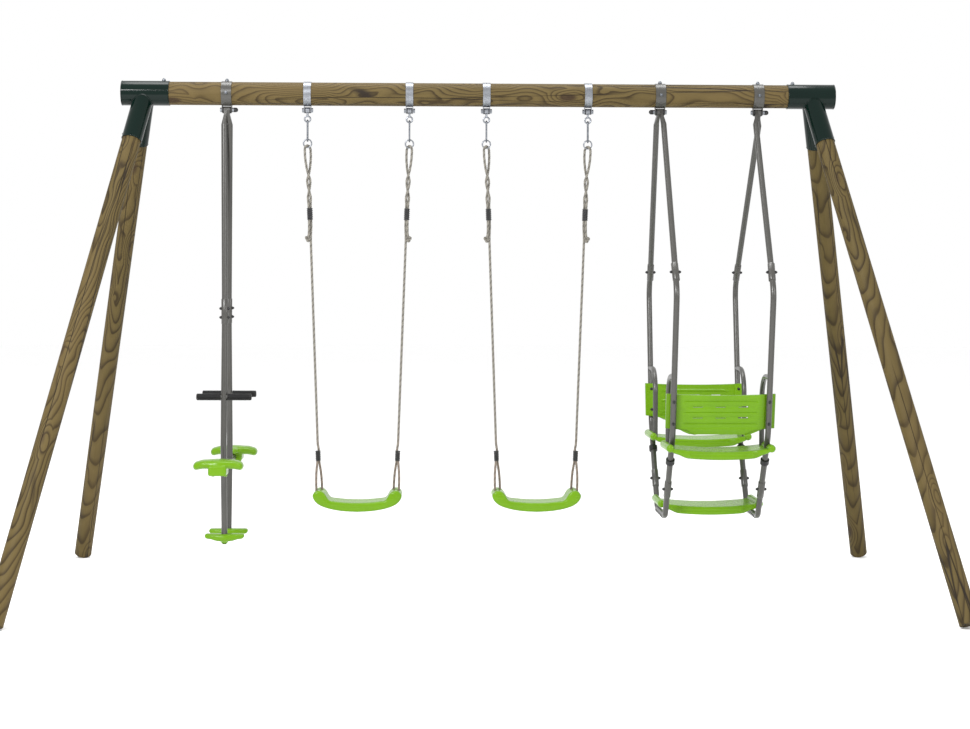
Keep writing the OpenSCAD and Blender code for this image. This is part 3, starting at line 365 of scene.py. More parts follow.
def named(name, material):
    piece = bpy.context.object
    piece.name = piece.data.name = name
    piece.data.materials.clear()
    piece.data.materials.append(material)
    return piece


def settle(piece):
    take(piece)
    bpy.ops.object.transform_apply(location=True, rotation=True, scale=True)
    return piece


def apply_modifier(piece, kind, **settings):
    take(piece)
    modifier = piece.modifiers.new("shape", kind)
    for key, value in settings.items():
        setattr(modifier, key, value)
    bpy.ops.object.modifier_apply(modifier=modifier.name)
    return piece


def joined(name, pieces):
    take(pieces[0])
    for other in pieces[1:]:
        other.select_set(True)
    bpy.ops.object.join()
    pieces[0].name = pieces[0].data.name = name
    return pieces[0]


def smooth(piece, angle=40):
    take(piece)
    bpy.ops.object.shade_smooth_by_angle(angle=math.radians(angle))
    return piece


def copied(piece, name, change):
    """A copy with its own mesh, moved or mirrored by a matrix"""
    twin = piece.copy()
    twin.data = piece.data.copy()
    twin.name = twin.data.name = name
    bpy.context.collection.objects.link(twin)
    twin.data.transform(change)
    if change.determinant() < 0:
        twin.data.flip_normals()
    return twin


def drawn_out(name, rings, material):
    """A closed solid drawn out from its first ring, ring by ring"""
    clear_selection()
    bpy.ops.mesh.primitive_circle_add(vertices=len(rings[0]), fill_type="NGON")
    piece = named(name, material)
    bpy.ops.object.mode_set(mode="EDIT")
    mesh = bmesh.from_edit_mesh(piece.data)
    mesh.verts.ensure_lookup_table()
    order = {vertex.index: k for k, vertex in enumerate(mesh.verts)}
    for k, point in enumerate(rings[0]):
        mesh.verts[k].co = point
    layer = mesh.verts.layers.int.new("ring place")
    for vertex in mesh.verts:
        vertex[layer] = order[vertex.index]
    bmesh.update_edit_mesh(piece.data)
    bpy.ops.mesh.select_all(action="SELECT")
    for ring in rings[1:]:
        bpy.ops.mesh.extrude_region_move()
        mesh = bmesh.from_edit_mesh(piece.data)
        layer = mesh.verts.layers.int["ring place"]
        for vertex in mesh.verts:
            if vertex.select:
                vertex.co = ring[vertex[layer]]
        bmesh.update_edit_mesh(piece.data)
    bpy.ops.mesh.select_all(action="SELECT")
    bpy.ops.mesh.normals_make_consistent(inside=False)
    bpy.ops.object.mode_set(mode="OBJECT")
    piece.data.attributes.remove(piece.data.attributes["ring place"])
    return piece


def bent_bar(name, points, radius, material, sides=24):
    """A round bar along a line of points"""
    curve = bpy.data.curves.new(name, "CURVE")
    curve.dimensions = "3D"
    spline = curve.splines.new("POLY")
    spline.points.add(len(points) - 1)
    for mark, point in zip(spline.points, points):
        mark.co = (*point, 1)
    curve.bevel_depth = radius
    curve.bevel_resolution = sides // 4 - 2
    curve.use_fill_caps = True
    piece = bpy.data.objects.new(name, curve)
    bpy.context.collection.objects.link(piece)
    take(piece)
    bpy.ops.object.convert(target="MESH")
    piece = named(name, material)
    bpy.ops.object.mode_set(mode="EDIT")
    bpy.ops.mesh.select_all(action="SELECT")
    bpy.ops.mesh.remove_doubles(threshold=0.00001)
    bpy.ops.mesh.normals_make_consistent(inside=False)
    bpy.ops.object.mode_set(mode="OBJECT")
    return smooth(piece, 35)


def rounded_line(corners, radii, steps=10):
    """Points along a line whose inner corners are bent to radii"""
    corners = [Vector(c) for c in corners]
    line = [corners[0]]
    for before, corner, after, radius in zip(corners, corners[1:], corners[2:], radii):
        a, b = (before - corner).normalized(), (after - corner).normalized()
        half = a.angle(b) / 2
        middle = corner + (a + b).normalized() * radius / math.sin(half)
        first = corner + a * radius / math.tan(half) - middle
        last = corner + b * radius / math.tan(half) - middle
        turn = math.pi - 2 * half
        for k in range(steps + 1):
            t = turn * k / steps
            line.append(middle + (first * math.sin(turn - t) + last * math.sin(t)) / math.sin(turn))
    return line + [corners[-1]]


def smooth_line(points, spacing):
    """Points at an even spacing along a smooth curve through the given ones"""
    points = [Vector(p) for p in points]
    ends = [2 * points[0] - points[1]] + points + [2 * points[-1] - points[-2]]
    dense = []
    for p0, p1, p2, p3 in zip(ends, ends[1:], ends[2:], ends[3:]):
        for k in range(16):
            t = k / 16
            dense.append(0.5 * (2 * p1 + (p2 - p0) * t + (2 * p0 - 5 * p1 + 4 * p2 - p3) * t * t
                                + (3 * p1 - 3 * p2 + p3 - p0) * t ** 3))
    dense.append(points[-1])
    total = sum((b - a).length for a, b in zip(dense, dense[1:]))
    count = max(2, round(total / spacing))
    line, walked, k = [dense[0]], 0.0, 0
    for i in range(1, count):
        goal = total * i / count
        while walked + (dense[k + 1] - dense[k]).length < goal:
            walked += (dense[k + 1] - dense[k]).length
            k += 1
        step = (dense[k + 1] - dense[k]).length
        line.append(dense[k].lerp(dense[k + 1], (goal - walked) / step))
    return line + [dense[-1]]


def frames_along(line, first=Vector((0, 1, 0))):
    """A pair of crosswise directions at each point, turning as little as they can"""
    across = first
    out = []
    for k, point in enumerate(line):
        ahead = (line[min(k + 1, len(line) - 1)] - line[max(k - 1, 0)]).normalized()
        across = (across - ahead * across.dot(ahead)).normalized()
        out.append((across.copy(), ahead.cross(across)))
    return out


# ---------- ropes ----------

ROPE_TOP_Z = 1.9219
ROPE_TURN_Z = 0.398
LOOP_TURN = math.radians(35)
LAY_LENGTH = 0.026
TAIL = [(9, 7, -398), (9, 2, -380), (8, 0, -345), (7, 0, -310), (7, 0, -280), (6, 1, -250)]
CLIMB = [(2, 6, -225), (-4, 5, -200), (-7, 0, -175), (-5, -4, -150), (5, -3, -125), (9, 0, -105),
         (14, 0, -85), (18, 0, -65), (20, 0, -45), (20, 0, -20)]
OVER = [(18.5, 0, -12), (14.1, 0, -5.9), (7.7, 0, -1.5), (0, 0, 0), (-7.7, 0, -1.5), (-14.1, 0, -5.9),
        (-18.5, 0, -12)]
FALL = [(-20, 0, -20), (-20, 0, -45), (-18, 0, -65), (-14, 0, -85), (-9, 0, -105), (-5, 3, -125),
        (5, 4, -150), (7, 0, -175), (4, -5, -200), (-2, -6, -225), (-6, -1, -250), (-7, 0, -280),
        (-7, 0, -310), (-7, 0, -345), (-4, 0, -370), (-1, 0, -395), (0, 0, -420)]
LOWER = [(0, 0, 240), (-3, 0, 222), (-6, 0, 204), (-6, 0, 182), (-6, 0, 160), (-11, 0, 135),
         (-16, 0, 110), (-19, 0, 80), (-20, 0, 50), (-20, 0, 20), (-20, 0, 0)]
TURN = [(-18.5, 0, -7.7), (-14.1, 0, -14.1), (-7.7, 0, -18.5), (0, 0, -20), (7.7, 0, -18.5),
        (14.1, 0, -14.1), (18.5, 0, -7.7)]
RISE = [(20, 0, 0), (20, 0, 20), (20, 0, 50), (19, 0, 80), (16, 0, 110), (11, 0, 135), (6, 0, 160),
        (6, 0, 182), (6, 0, 200)]


def rope_axis_x(z):
    return 0.220 - 0.0545 * (ROPE_TOP_Z - z) / (ROPE_TOP_Z - ROPE_TURN_Z)


def rope_point(x, side, p, base):
    z = base + p[2] / 1000
    a, b = p[0] / 1000, p[1] / 1000
    return Vector((x + side * (rope_axis_x(z) + a * math.sin(LOOP_TURN) + b * math.cos(LOOP_TURN)),
                   -a * math.cos(LOOP_TURN) + b * math.sin(LOOP_TURN), z))


def rope_route(x, side):
    upper = [rope_point(x, side, p, ROPE_TOP_Z) for p in TAIL + CLIMB + OVER + FALL]
    lower = [rope_point(x, side, p, ROPE_TURN_Z) for p in LOWER + TURN + RISE]
    run = [upper[-1].lerp(lower[0], k / 12) for k in range(1, 12)]
    return (upper + run + lower)[::-1]


def laid_rope(name, line, strand_r=0.0029, offset=0.0029):
    """Three strands laid round each other along a line, in one mesh"""
    frames = frames_along(line)
    walked, length = [0.0], 0.0
    for a, b in zip(line, line[1:]):
        length += (b - a).length
        walked.append(length)
    points, faces, uvs = [], [], []
    sides = 8
    for strand in range(3):
        start = len(points)
        centres = []
        for s, point, (across, beside) in zip(walked, line, frames):
            turn = 2 * math.pi * (s / LAY_LENGTH + strand / 3)
            centres.append(point + offset * (across * math.cos(turn) + beside * math.sin(turn)))
        rims = frames_along(centres)
        for centre, (across, beside) in zip(centres, rims):
            for k in range(sides):
                turn = 2 * math.pi * k / sides
                points.append(centre + strand_r * (across * math.cos(turn) + beside * math.sin(turn)))
        for i in range(len(line) - 1):
            for k in range(sides):
                a, b = start + i * sides + k, start + i * sides + (k + 1) % sides
                faces.append((a, b, b + sides, a + sides))
                v0, v1 = walked[i] / LAY_LENGTH, walked[i + 1] / LAY_LENGTH
                u0, u1 = strand + k / sides, strand + (k + 1) / sides - 0.001
                uvs += [(u0, v0), (u1, v0), (u1, v1), (u0, v1)]
        for ring in (range(start + sides - 1, start - 1, -1), range(len(points) - sides, len(points))):
            faces.append(tuple(ring))
            uvs += [(strand + 0.5, 0.5)] * sides
    mesh = bpy.data.meshes.new(name)
    mesh.from_pydata(points, [], faces)
    layer = mesh.uv_layers.new(name="lay")
    for corner, uv in zip(layer.data, uvs):
        corner.uv = uv
    mesh.materials.append(ROPE)
    piece = bpy.data.objects.new(name, mesh)
    bpy.context.collection.objects.link(piece)
    return smooth(piece, 60)


def knot(name, place):
    """An overhand knot in the rope's tail, pulled tight"""
    line = []
    for k in range(121):
        t = 2 * math.pi * k / 120
        line.append(Vector((math.sin(t) + 2 * math.sin(2 * t), -math.sin(3 * t) * 1.1,
                            math.cos(t) - 2 * math.cos(2 * t))) * 0.0038 + place)
    return laid_rope(name, line, 0.00235, 0.0022)


ROPES = []
for letter, middle in SWINGS.items():
    for side, word in ((-1, "left"), (1, "right")):
        route = rope_route(middle, side)
        line = smooth_line(route, 0.0036)
        rope = laid_rope("rope_%s_%s_laid" % (letter, word), line)
        ROPES.append((letter, word, side, rope, line))

# ---------- fittings on the ropes ----------


def stadium_ring(width, depth, z, grow, steps=40):
    """Points round a flat bar with half-round ends"""
    run, r = (width - depth) / 2, depth / 2 + grow
    ring = []
    for k in range(steps):
        t = 2 * math.pi * (k + 0.5) / steps
        ring.append(Vector((math.copysign(run, math.cos(t)) + r * math.cos(t), r * math.sin(t), z)))
    return ring


def ribbed_clamp(name, place, size, ribs):
    """A black clamp round two strands, with ribs for the fingers and rounded ends"""
    width, depth, height = size
    rings = []
    steps = ribs * 8
    for k in range(steps + 1):
        z = -height / 2 + 0.003 + (height - 0.006) * k / steps
        grow = -0.0011 + 0.0013 * math.cos(2 * math.pi * ribs * k / steps)
        rings.append(stadium_ring(width, depth, z, grow))
    for sign in (-1, 1):
        for out, inset in ((0.0015, 0.0006), (0.0026, 0.0016), (0.003, 0.0034)):
            z = sign * (height / 2 - 0.003 + out)
            ring = stadium_ring(width, depth, z, -inset)
            if sign < 0:
                rings.insert(0, ring)
            else:
                rings.append(ring)
    piece = drawn_out(name, rings, BLACK)
    piece.data.transform(place)
    return smooth(piece, 50)


def clamp_place(x, side, z):
    lean = math.atan2(0.0545, ROPE_TOP_Z - ROPE_TURN_Z)
    turn = Matrix.Rotation(-side * (math.pi / 2 - LOOP_TURN), 4, "Z")
    middle = Vector((x + side * rope_axis_x(z), 0, z))
    return Matrix.Translation(middle) @ Matrix.Rotation(side * lean, 4, "Y") @ turn


for letter, word, side, rope, line in ROPES:
    middle = SWINGS[letter]
    body = "swing_" + letter
    node = "rope_%s_%s" % (letter, word)
    tail_end = line[-1]
    end_knot = knot("knot_%s_%s" % (letter, word), tail_end + Vector((0, 0, -0.004)))
    upper = ribbed_clamp("adjuster_%s_%s" % (letter, word), clamp_place(middle, side, ROPE_TOP_Z - 0.295),
                         (0.030, 0.019, 0.050), 5)
    lower = ribbed_clamp("sleeve_%s_%s" % (letter, word), clamp_place(middle, side, ROPE_TURN_Z + 0.182),
                         (0.027, 0.019, 0.044), 5)
    for piece in (rope, end_knot, upper, lower):
        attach(piece, body)
    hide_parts(node)
    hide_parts("adjusters_" + letter)
    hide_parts("sleeves_" + letter)

# ---------- rope swing seats ----------

SEAT_OUTLINE = [(0, 0), (0.05, 0.0024), (0.095, 0.0082), (0.13, 0.0165), (0.158, 0.0270), (0.178, 0.0415),
                (0.1900, 0.0600), (0.1905, 0.0745), (0.1800, 0.0870), (0.1655, 0.0915), (0.1510, 0.0880),
                (0.1400, 0.0790), (0.1320, 0.0670), (0.1250, 0.0550), (0.1150, 0.0480), (0.1000, 0.0455),
                (0.07, 0.0423), (0.035, 0.0398), (0, 0.039)]


def seat_ring(x, y, inset, groove=0.0):
    """The seat's outline across the swing, drawn inwards by inset; the groove sinks its top only"""
    half = [Vector((a, 0, b)) for a, b in SEAT_OUTLINE]
    side = smooth_line(half, 0.0062)
    loop = side + [Vector((-p.x, 0, p.z)) for p in side[-2:0:-1]]
    ring = []
    for k, point in enumerate(loop):
        along = (loop[(k + 1) % len(loop)] - loop[k - 1]).normalized()
        inward = Vector((-along.z, 0, along.x))
        sunk = inset + (groove if abs(point.x) < 0.105 and point.z > 0.03 else 0.0)
        moved = point + inward * sunk
        ring.append(Vector((x + moved.x, y, 0.344 + moved.z)))
    return ring


def swing_seat(name, x):
    depth = 0.085
    edge = [(0.0, 0.0090), (0.0008, 0.0058), (0.0028, 0.0030), (0.0058, 0.0010), (0.0098, 0.0)]
    lines = [(-depth + out, inset, 0.0) for out, inset in edge]
    for start in (-0.070, 0.066):
        lines += [(start, 0.0, 0.0), (start + 0.0012, 0.0, 0.0016), (start + 0.0028, 0.0, 0.0016),
                  (start + 0.004, 0.0, 0.0)]
    lines += [(y, 0.0, 0.0011 * math.cos(math.pi * y / 0.12)) for y in (-0.045, -0.02, 0.0, 0.02, 0.045)]
    lines += [(depth - out, inset, 0.0) for out, inset in edge]
    lines.sort()
    seat = drawn_out(name, [seat_ring(x, *line) for line in lines], LIME)
    for side in (-1, 1):
        # the mouth where the rope's two strands go into the lobe
        clear_selection()
        middle = Vector((x + side * (0.1655 + 0.001), 0, 0.436))
        rings = [stadium_ring(0.054, 0.013, z, grow) for z, grow in
                 ((-0.022, 0.0), (-0.006, 0.0), (-0.003, 0.0007), (0.0, 0.0022), (0.004, 0.006))]
        mouth = drawn_out("mouth", rings, LIME)
        mouth.data.transform(Matrix.Translation(middle)
                             @ Matrix.Rotation(-side * (math.pi / 2 - LOOP_TURN), 4, "Z"))
        apply_modifier(seat, "BOOLEAN", operation="DIFFERENCE", object=mouth, solver="EXACT")
        bpy.data.objects.remove(mouth)
    return smooth(seat, 38)


for letter, middle in SWINGS.items():
    seat = swing_seat("seat_" + letter, middle)
    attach(seat, "swing_" + letter)
    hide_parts("swing_seat_" + letter)

# ---------- glider ----------


def superellipse(half_a, half_b, power, k, steps):
    t = 2 * math.pi * k / steps
    c, s = math.cos(t), math.sin(t)
    a = half_a * math.copysign(abs(c) ** (2 / power), c)
    b = half_b * math.copysign(abs(s) ** (2 / power), s)
    return a, b


def wing(name, stations, power, material, steps=32):
    """A bar along X from stations of (x, y middle, z middle, half depth, half height)"""
    rings = []
    for x, y, z, depth, height in stations:
        ring = []
        for k in range(steps):
            a, b = superellipse(depth, height, power, k, steps)
            ring.append(Vector((x, y + a, z + b)))
        rings.append(ring)
    return drawn_out(name, rings, material)


def eased(table, x):
    """A smooth value read from a table of (place, value)"""
    for (x0, a), (x1, b) in zip(table, table[1:]):
        if x <= x1:
            t = max(0.0, min(1.0, (x - x0) / (x1 - x0)))
            t = t * t * (3 - 2 * t)
            return a + (b - a) * t
    return table[-1][1]


def saddle(name):
    """A glider seat in the rear place, about its bar's middle: wings, nose, hub and foot bumps"""
    half = 0.104
    stations = []
    for k in range(41):
        t = math.sin(math.pi / 2 * (2 * k / 40 - 1))
        x = half * t
        a = abs(t)
        tip = math.sqrt(max(0.0, 1 - max(0.0, (a - 0.86) / 0.14) ** 2)) if a > 0.86 else 1.0
        tip = max(tip, 0.05)
        top = eased([(0, 0.048), (0.55, 0.046), (1.0, 0.038)], a)
        thick = eased([(0, 0.040), (0.6, 0.038), (0.9, 0.036), (1.0, 0.034)], a) * tip
        depth = eased([(0, 0.058), (0.5, 0.052), (1.0, 0.040)], a) * (0.35 + 0.65 * tip)
        stations.append((x, 0.006, top - 0.019, depth, thick / 2))
    wings = wing(name, stations, 2.6, LIME)
    nose_rings = []
    for k in range(15):
        t = k / 14
        y = 0.02 - 0.115 * t
        closing = 1 if t < 0.9 else 0.75 if t < 0.96 else 0.3
        width = eased([(0, 0.052), (0.6, 0.027), (1.0, 0.016)], t) * closing
        height = 0.0135 * (1 if t < 0.9 else 0.8 if t < 0.96 else 0.35)
        ring = []
        for n in range(28):
            a, b = superellipse(width, height, 2.4, n, 28)
            ring.append(Vector((a, y, 0.033 - 0.006 * t + b)))
        nose_rings.append(ring)
    nose = drawn_out("nose", nose_rings, LIME)
    clear_selection()
    bpy.ops.mesh.primitive_cube_add(size=1, location=(0, 0.015, 0.004), scale=(0.076, 0.110, 0.044))
    hub = settle(named("hub", LIME))
    apply_modifier(hub, "BEVEL", width=0.008, segments=4)
    bumps = []
    for x in (-0.026, 0.026):
        clear_selection()
        bpy.ops.mesh.primitive_cylinder_add(vertices=24, radius=0.009, depth=0.010,
                                            location=(x, -0.020, -0.023))
        bump = settle(named("bump", LIME))
        apply_modifier(bump, "BEVEL", width=0.002, segments=2)
        bumps.append(bump)
    seat = joined(name, [wings, nose, hub] + bumps)
    apply_modifier(seat, "REMESH", mode="VOXEL", voxel_size=0.0026)
    apply_modifier(seat, "SMOOTH", factor=0.6, iterations=7)
    return smooth(seat, 60)


def footrest(name):
    """A wing-shaped footrest about the end of its tube: flat on top, a boss below"""
    stations = []
    for k in range(41):
        t = math.sin(math.pi / 2 * (2 * k / 40 - 1))
        a = abs(t)
        tip = math.sqrt(max(0.0, 1 - max(0.0, (a - 0.88) / 0.12) ** 2)) if a > 0.88 else 1.0
        tip = max(tip, 0.06)
        top, under = 0.026, eased([(0, -0.010), (0.25, -0.008), (0.8, 0.002), (1.0, 0.005)], a)
        thick = (top - under) * tip
        depth = eased([(0, 0.036), (0.5, 0.031), (1.0, 0.022)], a) * (0.3 + 0.7 * tip)
        stations.append((0.085 * t, -0.004, (top + under) / 2, depth, thick / 2))
    wings = wing(name, stations, 2.8, LIME)
    clear_selection()
    bpy.ops.mesh.primitive_cone_add(vertices=40, radius1=0.013, radius2=0.025, depth=0.034,
                                    location=(0, 0, 0.001))
    boss = settle(named("boss", LIME))
    rest = joined(name, [wings, boss])
    apply_modifier(rest, "REMESH", mode="VOXEL", voxel_size=0.0020)
    apply_modifier(rest, "SMOOTH", factor=0.6, iterations=5)
    return smooth(rest, 60)


def grip(name, place):
    """A ribbed rubber grip from its flange outwards along +X"""
    start, end, r = 0.0145, 0.1175, 0.015
    profile = [(start, 0.0), (start, r + 0.0002), (start + 0.0035, r + 0.0004), (start + 0.0045, r - 0.0012)]
    x = start + 0.0045
    while x < end - 0.012:
        profile += [(x + 0.0012, r - 0.0012), (x + 0.0022, r - 0.0002), (x + 0.0040, r - 0.0002),
                    (x + 0.005, r - 0.0012)]
        x += 0.005
    profile += [(end - 0.004, r - 0.0006), (end - 0.0012, r - 0.0024), (end, r - 0.006)]
    rings = []
    for x, radius in profile[1:]:
        turns = [2 * math.pi * k / 40 for k in range(40)]
        rings.append([Vector((x, radius * math.cos(turn), radius * math.sin(turn))) for turn in turns])
    piece = drawn_out(name, rings, RUBBER)
    piece.data.transform(place)
    return smooth(piece, 35)


def sleeve_along(name, a, b, radius, material):
    """A swaged sleeve: a straight round piece with rolled ends"""
    a, b = Vector(a), Vector(b)
    way = (b - a).normalized()
    length = (b - a).length
    marks = [(0, radius - 0.0022), (0.0008, radius - 0.0008), (0.002, radius), (length - 0.002, radius),
             (length - 0.0008, radius - 0.0008), (length, radius - 0.0022)]
    across = way.orthogonal().normalized()
    beside = way.cross(across)
    turns = [2 * math.pi * k / 32 for k in range(32)]
    rings = [[a + way * s + r * (across * math.cos(turn) + beside * math.sin(turn)) for turn in turns]
             for s, r in marks]
    return smooth(drawn_out(name, rings, material), 40)


MIRROR_Y = Matrix.Scale(-1, 4, (0, 1, 0))
MIRROR_X = Matrix.Scale(-1, 4, (1, 0, 0))
HANDLE = Vector((0, 0.114, -1.233))
SEAT_BAR_Z = -1.526
FOOTREST = Vector((0, 0.090, -1.846))
GLIDER = Matrix.Translation((GLIDER_X, 0, PIVOT_Z))


def both_ends(piece, place, names, body, nodes):
    """Puts a piece made for the rear end in both ends of a swing"""
    front = copied(piece, names[0], place @ MIRROR_Y)
    piece.data.transform(place)
    piece.name = piece.data.name = names[1]
    for end, node in ((front, nodes[0]), (piece, nodes[1])):
        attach(end, body)
        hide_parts(node)
    return front, piece


seat = saddle("glider_saddle")
seat.data.transform(Matrix.Translation((0, 0.330, SEAT_BAR_Z)))
both_ends(seat, GLIDER, ("glider_saddle_front", "glider_saddle_rear"), "glider",
          ("glider_seat_front", "glider_seat_rear"))
rest = footrest("footrest")
rest.data.transform(Matrix.Translation(FOOTREST))
both_ends(rest, GLIDER, ("glider_footrest_wing_front", "glider_footrest_wing_rear"), "glider",
          ("glider_footrest_front", "glider_footrest_rear"))
right_grip = grip("grip", Matrix.Identity(4))
left_grip = copied(right_grip, "grip_left", MIRROR_X)
for sign, end in ((-1, "front"), (1, "rear")):
    for shape, hand in ((left_grip, "left"), (right_grip, "right")):
        place = GLIDER @ Matrix.Translation((HANDLE.x, sign * HANDLE.y, HANDLE.z))
        piece = copied(shape, "grip_%s_%s" % (end, hand), place)
        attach(piece, "glider")
        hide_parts("glider_grips")
for shape in (left_grip, right_grip):
    bpy.data.objects.remove(shape)

GLIDER_SLOPE = HANDLE.y / -HANDLE.z
lower_line = rounded_line([(0, GLIDER_SLOPE * 0.917, -0.917), (0, GLIDER_SLOPE * 1.440, -1.440), FOOTREST],
                          [0.220], 14)
glider_joint = Vector((0, GLIDER_SLOPE * 0.911, -0.911))
eye_offset = Vector((0.01265, 0, 0))
for end, place, side in (("front", GLIDER @ MIRROR_Y, -1), ("rear", GLIDER, 1)):
    # the sleeve that takes the upper tube's end, in line with that tube
    way = (glider_joint - side * eye_offset).normalized()
    pieces = [bent_bar("lower_tube", lower_line, 0.013, GREY, 32),
              sleeve_along("sleeve", glider_joint - way * 0.097, glider_joint + way * 0.012, 0.0147, GREY)]
    tube = joined("glider_frame_tube_" + end, pieces)
    tube.data.transform(place)
    if end == "front":
        tube.data.flip_normals()
    smooth(tube, 40)
    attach(tube, "glider")
    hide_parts("glider_lower_tube_" + end)

# ---------- gondola ----------

GONDOLA = Matrix.Translation((GONDOLA_X, 0, PIVOT_Z))
SLEEVE_HALF = 0.042
SLEEVE_R = 0.015


def four_corners(piece, name, nodes):
    """Puts a piece made for the right rear in all four corners of the gondola"""
    for mx, side in ((-1, "left"), (1, "right")):
        for my, end in ((-1, "front"), (1, "rear")):
            change = GONDOLA @ Matrix.Scale(mx, 4, (1, 0, 0)) @ Matrix.Scale(my, 4, (0, 1, 0))
            twin = copied(piece, "%s_%s_%s" % (name, side, end), change)
            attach(twin, "gondola")
            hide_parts(nodes + side)
    bpy.data.objects.remove(piece)


UPPER_JOINT = Vector((HALF_TUBE, 0.458, -0.694))
side_way = Vector((0, 0.458, -0.694)).normalized()
knee_way = (Vector((0, 0.144, -1.738)) - Vector((0, 0.392, -1.374))).normalized()
LOWER_JOINT = Vector((HALF_TUBE, 0.144, -1.738)) - knee_way * 0.150
side_points = rounded_line(
    [UPPER_JOINT + side_way * 0.036, (HALF_TUBE, 0.512, -0.774), (HALF_TUBE, 0.392, -1.374),
     LOWER_JOINT + knee_way * 0.030], [0.110, 0.120], 16)
side_tube = bent_bar("side_tube", side_points, TUBE_R, GREY, 32)

upper_way = (UPPER_JOINT - Vector((0.213 + 0.01265, 0, 0))).normalized()
upper_half = upper_way * SLEEVE_HALF
upper_sleeve = sleeve_along("upper_sleeve", UPPER_JOINT - upper_half, UPPER_JOINT + upper_half,
                            SLEEVE_R, GREY)
side_tube = joined("side_tube", [side_tube, upper_sleeve])
four_corners(smooth(side_tube, 40), "side_tube", "gondola_side_tubes_")

rear_end = LOWER_JOINT + knee_way * 0.036
bottom = rounded_line([rear_end, (HALF_TUBE, 0.144, -1.738), (HALF_TUBE, -0.144, -1.738),
                       (HALF_TUBE, -rear_end.y, rear_end.z)], [0.038, 0.038], 12)
bottom_tube = bent_bar("bottom_tube", bottom, TUBE_R, GREY, 32)
lower_half = knee_way * SLEEVE_HALF
rear_sleeve = sleeve_along("rear_sleeve", LOWER_JOINT - lower_half, LOWER_JOINT + lower_half, SLEEVE_R, GREY)
front_sleeve = copied(rear_sleeve, "front_sleeve", MIRROR_Y)
bottom_tube = smooth(joined("bottom_tube", [bottom_tube, rear_sleeve, front_sleeve]), 40)
for mirror, side in ((MIRROR_X, "left"), (Matrix.Identity(4), "right")):
    twin = copied(bottom_tube, "bottom_tube_" + side, GONDOLA @ mirror)
    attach(twin, "gondola")
    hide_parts("gondola_bottom_tube_" + side)
bpy.data.objects.remove(bottom_tube)


def side_y_at(drop):
    """How far a side tube is from the middle at a drop from the pivot"""
    return 0.512 - 0.200 * (drop - 0.774)


arm_points = rounded_line([(HALF_TUBE, side_y_at(1.130) - 0.008, -1.130), (HALF_TUBE, 0.235, -1.130),
                           (HALF_TUBE, 0.235, -1.445)], [0.110], 20)
armrest = bent_bar("armrest", arm_points, 0.011, GREY, 32)
four_corners(armrest, "armrest", "gondola_armrests_")

BACK_LEAN = math.atan2(0.120, 0.600)


def backrest(name):
    """A ribbed panel with slots and a lower lip, about its middle, with +Y outwards"""
    half_w, half_h, lip = 0.2275, 0.0735, 0.025
    across = (0, .0205, .022, .04, .058, .0725, .0745, .09, .1155, .117, .135, .150, .156, .160, .172,
              .1815, .184, .2125, .2165, .223, .2275)
    xs = sorted({sign * x for sign in (-1, 1) for x in across})
    zs = [-.0985, -.0955, -.088, -.0775, -.0735, -.066, -.058, -.0555, -.0535, -.050, -.042, -.034, -.031,
          -.0305, -.025, -.0245, -.018, -.009, -.0060, -.0040, -.0010, .007, .0155, .016, .0220, .0225, .030,
          .038, .0405, .0425, .046, .056, .066, .0735]
    clear_selection()
    nx, nz = len(xs) - 1, len(zs) - 1
    bpy.ops.mesh.primitive_grid_add(x_subdivisions=nx, y_subdivisions=nz, size=2)
    panel = named(name, LIME)
    grooves = (-0.0545, -0.005, 0.0415)
    for vertex in panel.data.vertices:
        x = xs[round((vertex.co.x + 1) / 2 * nx)]
        z = zs[round((vertex.co.y + 1) / 2 * nz)]
        y = 0.0
        if abs(x) < 0.156:
            for groove in grooves:
                y -= 0.0028 if abs(z - groove) < 0.0017 else 0.0
            if min(abs(z - 0.019), abs(z + 0.028)) < 0.0075 and abs(x) < 0.150:
                y -= 0.0022
        if abs(x) > 0.183:
            y -= 0.004
        if z < -half_h:
            t = (-half_h - z) / lip
            reach = 0.185 - 0.057 * t
            x = x / half_w * reach
            y += 0.0035 - 0.003 * t
        sag = -0.006 * (1 - (x / half_w) ** 2) if z > 0.05 else 0.0
        vertex.co = (x, y, z + sag * (z - 0.05) / 0.0235 if z > 0.05 else z)
    bpy.ops.object.mode_set(mode="EDIT")
    bpy.ops.mesh.select_all(action="DESELECT")
    bpy.ops.mesh.select_mode(type="FACE")
    mesh = bmesh.from_edit_mesh(panel.data)
    for face in mesh.faces:
        middle = face.calc_center_median()
        in_x = min(abs(abs(middle.x) - 0.095), abs(middle.x)) < 0.0208
        in_z = min(abs(middle.z - 0.019), abs(middle.z + 0.028)) < 0.003
        face.select = in_x and in_z
    bmesh.update_edit_mesh(panel.data)
    bpy.ops.mesh.delete(type="FACE")
    bpy.ops.mesh.select_mode(type="VERT")
    bpy.ops.mesh.select_all(action="SELECT")
    bpy.ops.mesh.normals_make_consistent(inside=False)
    bpy.ops.object.mode_set(mode="OBJECT")
    apply_modifier(panel, "SOLIDIFY", thickness=0.010, offset=0)
    apply_modifier(panel, "BEVEL", width=0.0014, segments=3, limit_method="ANGLE",
                   angle_limit=math.radians(40))
    return smooth(panel, 45)


panel = backrest("backrest")
panel.data.transform(Matrix.Translation((0, side_y_at(1.276), -1.276)) @ Matrix.Rotation(-BACK_LEAN, 4, "X")
                     @ Matrix.Translation((0, -TUBE_R - 0.0075, 0)))
both_ends(panel, GONDOLA, ("backrest_front", "backrest_rear"), "gondola",
          ("gondola_backrest_front", "gondola_backrest_rear"))


